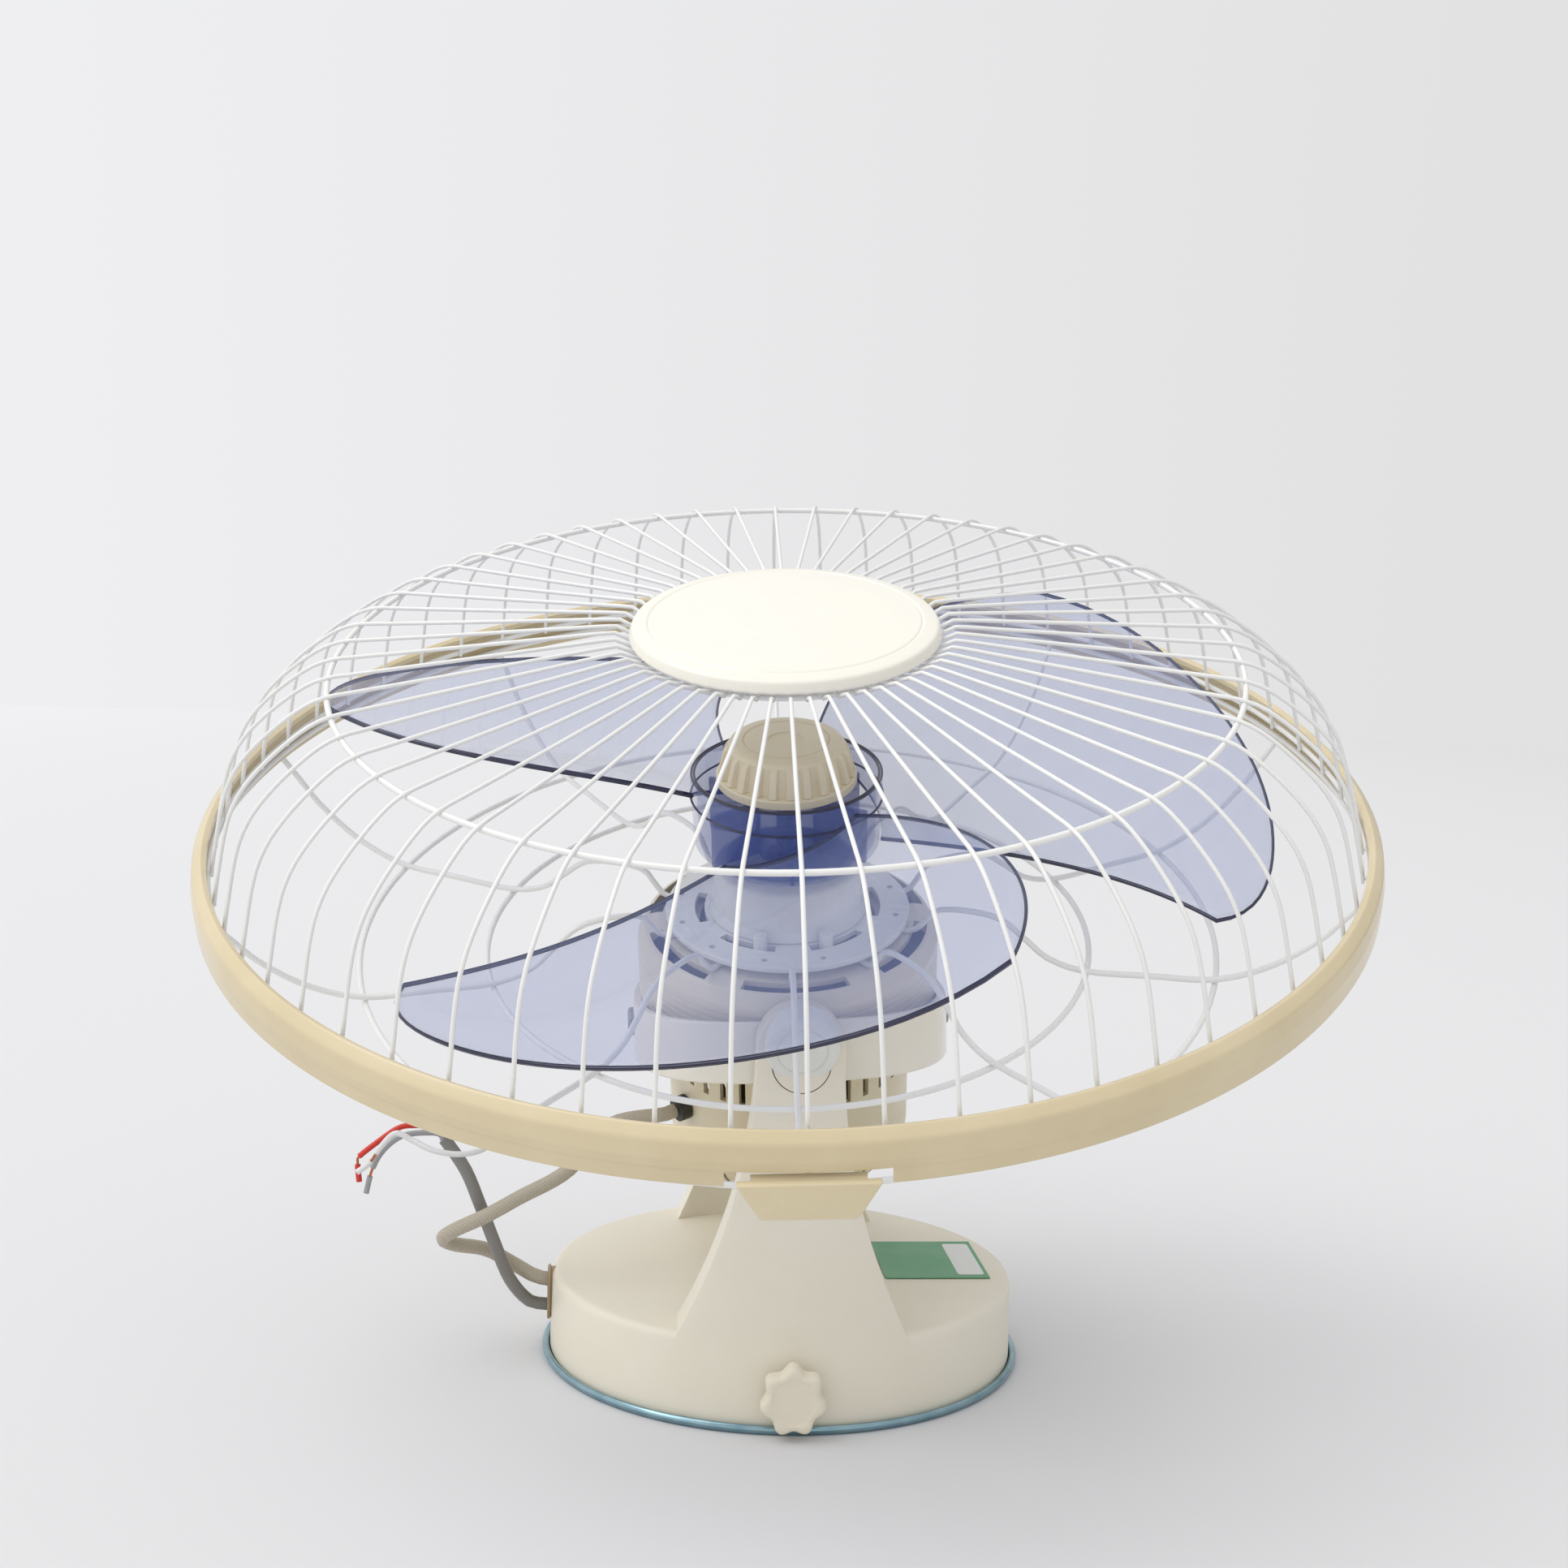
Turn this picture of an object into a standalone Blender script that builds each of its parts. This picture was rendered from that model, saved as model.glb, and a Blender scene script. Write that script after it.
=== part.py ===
"""Orbital ceiling fan, standing on its ceiling plate with its head leaning forward.

Metres, +Z up, the front at -Y. The origin is the centre of the plate's underside.
The head is modelled upright about the orbit pivot and leans with its parent empties.
"""
import math

import bmesh
import bpy
from mathutils import Matrix, Vector

# Clearances
GAP = 0.0003
RUNNING = 0.0001
WELD = 0.00001

# Ceiling plate
COVER_RADIUS = 0.0962
PLATE_RADIUS = COVER_RADIUS + 0.0038
PLATE_THICKNESS = 0.0016
PLATE_BEAD_HEIGHT = 0.0034
PLATE_BEAD_WIDTH = 0.0028
KEYHOLE_CIRCLE = 0.062
KEYHOLE_HEAD_RADIUS = 0.0045
KEYHOLE_NECK_RADIUS = 0.0022
KEYHOLE_LENGTH = 0.012

# Yoke cover and arms
PIVOT_HEIGHT = 0.1408
COVER_DRAFT = 0.0004
COVER_TOP = 0.0343
COVER_WALL = 0.0025
COVER_EDGE = 0.0038
ARM_INNER_RADIUS = 0.0775
ARM_FOOT_HALF_WIDTH = 0.0437
ARM_TOP_HALF_WIDTH = 0.0166
ARM_TOP_CENTRE = PIVOT_HEIGHT + 0.0047
ARM_TAPER_POWER = 1.9
ARM_WALL = 0.0026
ARM_POCKET_TOP = PIVOT_HEIGHT - 0.0228

# Orbit pivot
HEAD_PITCH = math.radians(22.0)
HEAD_ROLL = math.radians(-3.2)
PIN_RADIUS = 0.0035
PIN_HEAD_RADIUS = 0.0065
PIN_HEAD_DEPTH = 0.0028
PLUG_RADIUS = 0.0110
PLUG_DEPTH = 0.0048
CAP_RADIUS = 0.0140
CAP_THICKNESS = 0.0062
CAP_RING_RADIUS = 0.0094
CAP_CENTRE = PIVOT_HEIGHT + 0.0077
CAP_STAND_OFF = 0.0044
WASHER_RADIUS = 0.0072

# Orbit ring
RING_HALF_WIDTH = ARM_INNER_RADIUS - 0.0130
RING_HALF_LENGTH = ARM_INNER_RADIUS - 0.0025
RING_WALL = 0.0040
RING_HALF_HEIGHT = 0.0120
RING_SQUARENESS = 2.8
RING_BEVEL = 0.0014

# Motor head, heights above the pivot
SHELL_RADIUS = ARM_INNER_RADIUS - 0.0160
SHELL_LOWER_RADIUS = SHELL_RADIUS - 0.0022
SHELL_WALL = 0.0024
SHELL_TOP = 0.0480
SHELL_BOTTOM = 0.0123
SHELL_OPENING = 0.0360
SHELL_SLOT_COUNT = 6
HOUSING_RADIUS = SHELL_RADIUS - 0.0112
HOUSING_WALL = 0.0024
HOUSING_BOTTOM = COVER_TOP + 0.0400 - PIVOT_HEIGHT
HOUSING_FLANGE = SHELL_LOWER_RADIUS - 0.0023
VENT_COUNT = 18
VENT_WIDTH = 0.0030
VENT_LOW = -0.0065
VENT_HIGH = 0.0035
LOUVRE_COUNT = 10
LOUVRE_WIDTH = 0.0026
TRUNNION_RADIUS = 0.0090
REAR_WIRE = 0.0012
FRONT_PLATE_RADIUS = 0.0496
FRONT_PLATE_THICKNESS = 0.0024
KIDNEY_COUNT = 6
BELL_RADIUS = 0.0310
BELL_TOP = 0.0770
SHAFT_RADIUS = 0.0040
SHAFT_BOTTOM = HOUSING_BOTTOM + 0.0365
BUSH_RADIUS = 0.0087
BUSH_LENGTH = 0.0085
STATOR_OUTER = SHELL_LOWER_RADIUS - 0.0031
STATOR_BORE = STATOR_OUTER - 0.0262
STATOR_LOW = 0.0170
STATOR_HIGH = 0.0400
AIR_GAP = 0.0008
GEAR_CASE = (0.044, 0.040)
GEAR_CASE_TOP = -0.0140

# Orbit crank
CRANK_THROW = 0.0342
CRANK_THICKNESS = 0.0050
CRANK_TOP = HOUSING_BOTTOM - 0.0020
CUP_RADIUS = 0.0070
CUP_BOTTOM = COVER_TOP + 0.0185 - PIVOT_HEIGHT
STUD_BALL = 0.0045

# Guards, heights above the pivot
GUARD_TURN = math.radians(-91.7)
SPOKE_COUNT = 60
SPOKE_WIRE = 0.0008
GUARD_RADIUS = 0.2300
RIM_TOP = 0.1056
RIM_BOTTOM = 0.0876
RIM_WALL = 0.0024
RIM_LIP = 0.0066
REAR_SEAT = (GUARD_RADIUS - RIM_WALL - REAR_WIRE - 2 * GAP, RIM_BOTTOM + 0.0044)
SHOULDER_RADIUS = GUARD_RADIUS - 0.05715
SHOULDER_HEIGHT = 0.1632
SHOULDER_WIRE = 0.0012
DISC_RADIUS = 0.0599
DISC_TOP = 0.1806
INNER_HEIGHT = DISC_TOP - 0.0098 - SPOKE_WIRE
REAR_RADIAL_COUNT = 10
REAR_RING_SMALL = (0.1225, 0.0395)
REAR_RING_LARGE = (0.75 * GUARD_RADIUS, 0.0440)
REAR_INNER_RADIUS = 0.0440

# Clasp
CLASP_TOP_WIDTH = 0.0437
CLASP_BOTTOM_WIDTH = 0.0316
CLASP_HEIGHT = 0.0132
CLASP_THICKNESS = 0.0030
CLASP_PIVOT = (GUARD_RADIUS - 0.0012, RIM_BOTTOM + 0.0038)
CLASP_KNUCKLE = 0.0014
NOTCH_WIDTH = 0.0500
NOTCH_TOP = 0.0931

# Rotor, heights above the pivot
HUB_RADIUS = 0.0382
HUB_TOP = 0.1140
HUB_BOTTOM = 0.0790
HUB_WALL = 0.0020
HUB_BOSS_RADIUS = 0.0120
HUB_BOSS_TOP = 0.1100
HUB_WEB_COUNT = 6
HUB_WEB_TOP = 0.1040
BLADE_COUNT = 3
BLADE_PHASE = math.radians(-4.0)
BLADE_SWEEP = GUARD_RADIUS - 0.0305
BLADE_THICKNESS = 0.0020
NUT_TOP = 0.1278
NUT_TOP_RADIUS = 0.0248
NUT_FLANGE_RADIUS = 0.0288
NUT_RIB_COUNT = 24

# Cover knob
KNOB_HEIGHT = 0.0155
KNOB_RADIUS = 0.0123
KNOB_LOBE = 0.0012
KNOB_LOBES = 7
KNOB_THICKNESS = 0.0070
KNOB_SCREW_RADIUS = 0.0025

# Lead outlet and cords
OUTLET_ANGLE = math.radians(183.0)
OUTLET_HEIGHT = 0.0232
OUTLET_HALF_LENGTH = 0.0106
OUTLET_HALF_WIDTH = 0.0052
OUTLET_SPACING = 0.0054
SLEEVE_RADIUS = 0.0030
CABLE_RADIUS = 0.00265
CORE_RADIUS = 0.0011

# Label on the cover
LABEL_SIZE = (0.044, 0.050)
LABEL_CENTRE = (0.0635, 0.0074)
LABEL_TURN = math.radians(2.4)
LABEL_THICKNESS = 0.0003


def clear_scene():
    for obj in list(bpy.data.objects):
        bpy.data.objects.remove(obj, do_unlink=True)


def new_collection(name, parent=None, helper=False):
    collection = bpy.data.collections.new(name)
    (parent or bpy.context.scene.collection).children.link(collection)
    collection.hide_render = helper
    return collection


def material(name, colour, roughness=0.4, metallic=0.0, alpha=1.0):
    mat = bpy.data.materials.new(name)
    mat.use_nodes = True
    shader = mat.node_tree.nodes["Principled BSDF"]
    shader.inputs["Base Color"].default_value = (*colour, 1.0)
    shader.inputs["Roughness"].default_value = roughness
    shader.inputs["Metallic"].default_value = metallic
    shader.inputs["Alpha"].default_value = alpha
    return mat


def place(obj, parent=None, mat=None, collection=None):
    (collection or PARTS).objects.link(obj)
    obj.parent = parent
    if mat:
        obj.data.materials.append(mat)
    return obj


def smooth(obj, degrees=35.0):
    obj.data.shade_smooth()
    obj.data.set_sharp_from_angle(angle=math.radians(degrees))
    return obj


def curve_to_mesh(obj):
    """Swap a curve object for a mesh object of the same name and place."""
    mesh = bpy.data.meshes.new_from_object(obj)
    bm = bmesh.new()
    bm.from_mesh(mesh)
    bmesh.ops.remove_doubles(bm, verts=bm.verts, dist=WELD)
    bm.to_mesh(mesh)
    bm.free()
    name = obj.name
    made = bpy.data.objects.new(name + "_mesh", mesh)
    for collection in obj.users_collection:
        collection.objects.link(made)
    made.parent = obj.parent
    made.matrix_basis = obj.matrix_basis
    bpy.data.objects.remove(obj, do_unlink=True)
    made.name = name
    return made


def turned(name, profile, parent, mat=None, steps=48, collection=None, closed=False):
    """A profile of (radius, height) points, turned about the local Z axis."""
    bm = bmesh.new()
    points = [bm.verts.new((radius, 0.0, height)) for radius, height in profile]
    edges = [bm.edges.new(pair) for pair in zip(points, points[1:])]
    if closed:
        edges.append(bm.edges.new((points[-1], points[0])))
    bmesh.ops.spin(
        bm, geom=points + edges, cent=(0, 0, 0), axis=(0, 0, 1), angle=2 * math.pi, steps=steps, use_merge=True
    )
    bmesh.ops.remove_doubles(bm, verts=bm.verts, dist=WELD)
    bmesh.ops.recalc_face_normals(bm, faces=bm.faces)
    mesh = bpy.data.meshes.new(name)
    bm.to_mesh(mesh)
    bm.free()
    return smooth(place(bpy.data.objects.new(name, mesh), parent, mat, collection))


def prism(name, outlines, depth, parent, mat=None, collection=None):
    """Flat outlines in local XY, extruded to a thickness centred on the plane."""
    curve = bpy.data.curves.new(name, "CURVE")
    curve.dimensions = "2D"
    curve.fill_mode = "BOTH"
    curve.extrude = depth / 2
    for outline in outlines:
        spline = curve.splines.new("POLY")
        spline.points.add(len(outline) - 1)
        for point, (x, y) in zip(spline.points, outline):
            point.co = (x, y, 0.0, 1.0)
        spline.use_cyclic_u = True
    obj = place(bpy.data.objects.new(name, curve), parent, None, collection)
    obj = curve_to_mesh(obj)
    if mat:
        obj.data.materials.append(mat)
    return smooth(obj)


def wire(name, points, radius, parent=None, mat=None, collection=None, cyclic=False, resolution=1):
    curve = bpy.data.curves.new(name, "CURVE")
    curve.dimensions = "3D"
    curve.bevel_depth = radius
    curve.bevel_resolution = resolution
    curve.use_fill_caps = True
    spline = curve.splines.new("POLY")
    spline.points.add(len(points) - 1)
    for point, position in zip(spline.points, points):
        point.co = (*position, 1.0)
    spline.use_cyclic_u = cyclic
    return place(bpy.data.objects.new(name, curve), parent, mat, collection)


def box(name, size, centre, parent=None, mat=None, collection=None, turn=0.0):
    mesh = bpy.data.meshes.new(name)
    bm = bmesh.new()
    bmesh.ops.create_cube(bm, size=1.0, matrix=Matrix.Diagonal((*size, 1.0)))
    bm.to_mesh(mesh)
    bm.free()
    obj = place(bpy.data.objects.new(name, mesh), parent, mat, collection)
    obj.matrix_basis = Matrix.Rotation(turn, 4, "Z") @ Matrix.Translation(centre)
    return obj


def rod(name, radius, start, end, parent=None, mat=None, collection=None, sides=24):
    """A cylinder between two points of the parent's frame."""
    start, end = Vector(start), Vector(end)
    mesh = bpy.data.meshes.new(name)
    bm = bmesh.new()
    bmesh.ops.create_cone(
        bm, cap_ends=True, segments=sides, radius1=radius, radius2=radius, depth=(end - start).length
    )
    bm.to_mesh(mesh)
    bm.free()
    obj = place(bpy.data.objects.new(name, mesh), parent, mat, collection)
    spin = (end - start).to_track_quat("Z", "Y").to_matrix().to_4x4()
    obj.matrix_basis = Matrix.Translation((start + end) / 2) @ spin
    return smooth(obj)


def combine(obj, other, operation):
    """Add, cut or keep the overlap with another object or with a collection of them."""
    change = obj.modifiers.new(operation.title(), "BOOLEAN")
    change.operation = operation
    change.solver = "EXACT"
    if isinstance(other, bpy.types.Collection):
        change.operand_type = "COLLECTION"
        change.collection = other
        helpers = list(other.objects)
    else:
        change.object = other
        helpers = [other]
    for helper in helpers:
        helper.hide_render = True
        helper.display_type = "WIRE"


def bevel(obj, width, segments=2, degrees=40.0):
    edge = obj.modifiers.new("Edges", "BEVEL")
    edge.width = width
    edge.segments = segments
    edge.limit_method = "ANGLE"
    edge.angle_limit = math.radians(degrees)


def circle_points(radius, height, count):
    return [
        (radius * math.cos(a), radius * math.sin(a), height)
        for a in (2 * math.pi * i / count for i in range(count))
    ]


def arc(centre, radius, start, end, count):
    """Points of an arc in degrees, both ends included."""
    angles = [math.radians(start + (end - start) * i / (count - 1)) for i in range(count)]
    return [(centre[0] + radius * math.cos(a), centre[1] + radius * math.sin(a)) for a in angles]


def sector(inner, outer, middle, span, count=6):
    """Outline of a ring sector about the origin, angles in degrees."""
    low, high = middle - span / 2, middle + span / 2
    return arc((0, 0), outer, low, high, count) + arc((0, 0), inner, high, low, count)


def smooth_path(points, spacing):
    """Points read at even steps from a smooth curve through the given ones."""
    ends = [points[0]] + list(points) + [points[-1]]
    fine = []
    for a, b, c, d in zip(ends, ends[1:], ends[2:], ends[3:]):
        a, b, c, d = Vector(a), Vector(b), Vector(c), Vector(d)
        for step in range(24):
            t = step / 24
            fine.append(
                (b * 2 + (c - a) * t + (a * 2 - b * 5 + c * 4 - d) * t * t + (b * 3 - a - c * 3 + d) * t**3) / 2
            )
    fine.append(Vector(points[-1]))
    lengths = [0.0]
    for p, q in zip(fine, fine[1:]):
        lengths.append(lengths[-1] + (q - p).length)
    count = max(2, round(lengths[-1] / spacing))
    path = []
    index = 0
    for step in range(count + 1):
        target = lengths[-1] * step / count
        while index < len(fine) - 2 and lengths[index + 1] < target:
            index += 1
        share = (target - lengths[index]) / max(lengths[index + 1] - lengths[index], 1e-9)
        path.append(fine[index].lerp(fine[index + 1], min(share, 1.0)))
    return path


def head_frame():
    """The leaning head's frame in the world."""
    roll = Matrix.Rotation(HEAD_ROLL, 4, "Y")
    pitch = Matrix.Rotation(HEAD_PITCH, 4, "X")
    return Matrix.Translation((0, 0, PIVOT_HEIGHT)) @ roll @ pitch


def around(angle):
    """A turn about the vertical axis."""
    return Matrix.Rotation(angle, 4, "Z")


def make_plate():
    zinc = material("zinc_steel", (0.42, 0.55, 0.61), 0.32, 1.0)
    bead_inner = PLATE_RADIUS - PLATE_BEAD_WIDTH
    profile = [
        (0.0, PLATE_THICKNESS),
        (bead_inner, PLATE_THICKNESS),
        (bead_inner + 0.2 * PLATE_BEAD_WIDTH, 0.85 * PLATE_BEAD_HEIGHT),
        (bead_inner + 0.55 * PLATE_BEAD_WIDTH, PLATE_BEAD_HEIGHT),
        (bead_inner + 0.9 * PLATE_BEAD_WIDTH, 0.75 * PLATE_BEAD_HEIGHT),
        (PLATE_RADIUS, 0.45 * PLATE_BEAD_HEIGHT),
        (bead_inner + 0.85 * PLATE_BEAD_WIDTH, 0.12 * PLATE_BEAD_HEIGHT),
        (bead_inner + 0.5 * PLATE_BEAD_WIDTH, 0.0),
        (0.0, 0.0),
    ]
    plate = turned("mount_plate", profile, None, zinc, 40)
    for index in range(3):
        outline = arc((0, 0), KEYHOLE_HEAD_RADIUS, 30, 330, 11)
        outline += arc((KEYHOLE_LENGTH, 0), KEYHOLE_NECK_RADIUS, -80, 80, 6)
        hole = prism(f"keyhole_cut_{index}", [outline], 4 * PLATE_THICKNESS, None, None, CUTTERS)
        turn = around(2 * math.pi * index / 3 + math.pi / 6)
        hole.matrix_world = turn @ Matrix.Translation((KEYHOLE_CIRCLE, 0, 0)) @ around(math.pi / 2)
        combine(plate, hole, "DIFFERENCE")


def arm_block(name, front, inset, low, high, inner, outer, collection):
    """The arm between two radii about the base axis, its edges drawn in by an inset."""
    right = []
    rows = 5
    span = PIVOT_HEIGHT - COVER_TOP
    straight_top = min(high, ARM_TOP_CENTRE)
    for row in range(rows + 1):
        height = low + (straight_top - low) * row / rows
        rise = max(PIVOT_HEIGHT - height, 0.0) / span
        half = ARM_TOP_HALF_WIDTH + (ARM_FOOT_HALF_WIDTH - ARM_TOP_HALF_WIDTH) * rise**ARM_TAPER_POWER
        right.append((half - inset, height))
    if high > ARM_TOP_CENTRE:
        crown = arc((0, ARM_TOP_CENTRE), ARM_TOP_HALF_WIDTH - inset, 20, 160, 8)
    else:
        crown = []
    left = [(-x, z) for x, z in reversed(right)]
    plank = prism(name, [right + crown + left], 0.040, None, None, collection)
    side = -1.0 if front else 1.0
    plank.matrix_world = Matrix.Translation((0, side * 0.085, 0)) @ Matrix.Rotation(math.pi / 2, 4, "X")
    tall = [(outer, high + 0.03), (outer, low - 0.01), (inner, low - 0.01), (inner, high + 0.03)]
    wall = turned(name + "_wall", tall, None, None, 64, CUTTERS, closed=True)
    combine(plank, wall, "INTERSECT")
    return plank


def make_cover():
    """The moulded cover with its two arms, bores and outlets."""
    cream = material("cream_cover", (0.80, 0.74, 0.61), 0.32)
    low = PLATE_THICKNESS + GAP
    foot = COVER_RADIUS + COVER_DRAFT
    profile = [
        (0.0, COVER_TOP),
        (COVER_RADIUS - COVER_EDGE, COVER_TOP),
        (COVER_RADIUS - 0.45 * COVER_EDGE, COVER_TOP - 0.15 * COVER_EDGE),
        (COVER_RADIUS - 0.12 * COVER_EDGE, COVER_TOP - 0.5 * COVER_EDGE),
        (COVER_RADIUS, COVER_TOP - COVER_EDGE),
        (foot, low),
        (foot - COVER_WALL, low),
        (COVER_RADIUS - COVER_WALL, COVER_TOP - COVER_EDGE),
        (COVER_RADIUS - COVER_EDGE, COVER_TOP - COVER_WALL),
        (0.0, COVER_TOP - COVER_WALL),
    ]
    cover = turned("yoke_cover", profile, None, cream, 48)
    buried = COVER_TOP - COVER_WALL / 2
    for front in (True, False):
        side = "front" if front else "rear"
        crown = ARM_TOP_CENTRE + ARM_TOP_HALF_WIDTH
        arm = arm_block(f"arm_{side}", front, 0.0, buried, crown, ARM_INNER_RADIUS, COVER_RADIUS, CUTTERS)
        combine(cover, arm, "UNION")
        pocket = arm_block(
            f"arm_pocket_{side}", front, ARM_WALL, COVER_TOP - 2 * COVER_WALL, ARM_POCKET_TOP,
            ARM_INNER_RADIUS + ARM_WALL, COVER_RADIUS - ARM_WALL, CUTTERS,
        )
        combine(cover, pocket, "DIFFERENCE")
        combine(cover, pivot_bore(f"pivot_bore_{side}", front), "DIFFERENCE")
    hole = prism("outlet_cut", [stadium(GAP)], 0.02, None, None, CUTTERS)
    hole.matrix_world = outlet_frame(COVER_RADIUS)
    combine(cover, hole, "DIFFERENCE")
    screw_hole = rod(
        "knob_bore", KNOB_SCREW_RADIUS + RUNNING, (0, -COVER_RADIUS + 0.01, KNOB_HEIGHT),
        (0, -COVER_RADIUS - 0.01, KNOB_HEIGHT), None, None, CUTTERS, 16,
    )
    combine(cover, screw_hole, "DIFFERENCE")
    return cover


def pivot_bore(name, front):
    """Stepped bore of a yoke arm: plug seat, pin head and pin."""
    plug_seat = COVER_RADIUS - PLUG_DEPTH
    head_seat = plug_seat - PIN_HEAD_DEPTH - 2 * GAP
    profile = [
        (0.0, COVER_RADIUS + 0.01),
        (PLUG_RADIUS + GAP, COVER_RADIUS + 0.01),
        (PLUG_RADIUS + GAP, plug_seat),
        (PIN_HEAD_RADIUS + GAP, plug_seat),
        (PIN_HEAD_RADIUS + GAP, head_seat),
        (PIN_RADIUS + RUNNING, head_seat),
        (PIN_RADIUS + RUNNING, ARM_INNER_RADIUS - 0.01),
        (0.0, ARM_INNER_RADIUS - 0.01),
    ]
    bore = turned(name, profile, None, None, 20, CUTTERS)
    bore.matrix_world = pivot_frame(front)
    return bore


def pivot_frame(front):
    """Local +Z points outward along the front to back pivot axis."""
    turn = math.pi / 2 if front else -math.pi / 2
    return Matrix.Translation((0, 0, PIVOT_HEIGHT)) @ Matrix.Rotation(turn, 4, "X")


def make_pivots():
    """Pins, plugs, raised caps and washers of the two yoke arms."""
    steel = material("pin_steel", (0.62, 0.62, 0.60), 0.3, 1.0)
    nylon = material("white_nylon", (0.86, 0.86, 0.84), 0.4)
    cream = material("cream_plug", (0.80, 0.74, 0.61), 0.34)
    for front in (True, False):
        side = "front" if front else "rear"
        head_seat = COVER_RADIUS - PLUG_DEPTH - PIN_HEAD_DEPTH - 2 * GAP
        tip = RING_HALF_LENGTH - RING_WALL + GAP
        pin = [
            (0.0, head_seat + GAP + PIN_HEAD_DEPTH),
            (PIN_HEAD_RADIUS, head_seat + GAP + PIN_HEAD_DEPTH),
            (PIN_HEAD_RADIUS, head_seat + GAP),
            (PIN_RADIUS, head_seat + GAP),
            (PIN_RADIUS, tip),
            (0.0, tip),
        ]
        turned(f"pivot_pin_{side}", pin, None, steel, 16).matrix_world = pivot_frame(front)

        plug = [
            (0.0, COVER_RADIUS + 0.002),
            (PLUG_RADIUS, COVER_RADIUS + 0.002),
            (PLUG_RADIUS, COVER_RADIUS - PLUG_DEPTH + GAP),
            (0.0, COVER_RADIUS - PLUG_DEPTH + GAP),
        ]
        plug = turned(f"pivot_plug_{side}", plug, None, cream, 20)
        plug.matrix_world = pivot_frame(front)
        combine(plug, cylinder_guide(f"plug_face_{side}", COVER_RADIUS), "INTERSECT")

        cap = [
            (0.0, CAP_THICKNESS),
            (CAP_RING_RADIUS - 0.0004, CAP_THICKNESS),
            (CAP_RING_RADIUS, CAP_THICKNESS - 0.0005),
            (CAP_RING_RADIUS + 0.0004, CAP_THICKNESS),
            (0.88 * CAP_RADIUS, 0.97 * CAP_THICKNESS),
            (0.97 * CAP_RADIUS, 0.80 * CAP_THICKNESS),
            (CAP_RADIUS, 0.55 * CAP_THICKNESS),
            (CAP_RADIUS, -CAP_THICKNESS),
            (0.0, -CAP_THICKNESS),
        ]
        cap = turned(f"pivot_cap_{side}", cap, None, nylon, 24)
        lean = HEAD_PITCH if front else -HEAD_PITCH
        outward = -1.0 if front else 1.0
        centre = Matrix.Translation((0, outward * (COVER_RADIUS + CAP_STAND_OFF - CAP_THICKNESS), CAP_CENTRE))
        turn = math.pi / 2 if front else -math.pi / 2
        cap.matrix_world = centre @ Matrix.Rotation(turn + lean, 4, "X")
        combine(cap, cylinder_guide(f"cap_back_{side}", COVER_RADIUS + GAP), "DIFFERENCE")

        washer = [
            (WASHER_RADIUS, ARM_INNER_RADIUS - 3 * GAP),
            (WASHER_RADIUS, RING_HALF_LENGTH + GAP),
            (PIN_RADIUS + RUNNING, RING_HALF_LENGTH + GAP),
            (PIN_RADIUS + RUNNING, ARM_INNER_RADIUS - 3 * GAP),
        ]
        washer = turned(f"pivot_washer_{side}", washer, None, nylon, 16, closed=True)
        washer.matrix_world = pivot_frame(front)


def cylinder_guide(name, radius):
    return rod(name, radius, (0, 0, 0.1), (0, 0, 0.2), None, None, CUTTERS, 64)


def stadium(grow=0.0):
    """Outline of the lead outlet, long side upright."""
    radius = OUTLET_HALF_WIDTH + grow
    reach = OUTLET_HALF_LENGTH - OUTLET_HALF_WIDTH
    return arc((0, reach), radius, 0, 180, 9) + arc((0, -reach), radius, 180, 360, 9)


def outlet_frame(radius):
    """Local +Z points out of the cover at the lead outlet, local Y is up."""
    out = Vector((math.cos(OUTLET_ANGLE), math.sin(OUTLET_ANGLE), 0))
    up = Vector((0, 0, 1))
    side = up.cross(out)
    frame = Matrix((side, up, out)).transposed().to_4x4()
    return Matrix.Translation(out * radius + up * OUTLET_HEIGHT) @ frame


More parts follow.
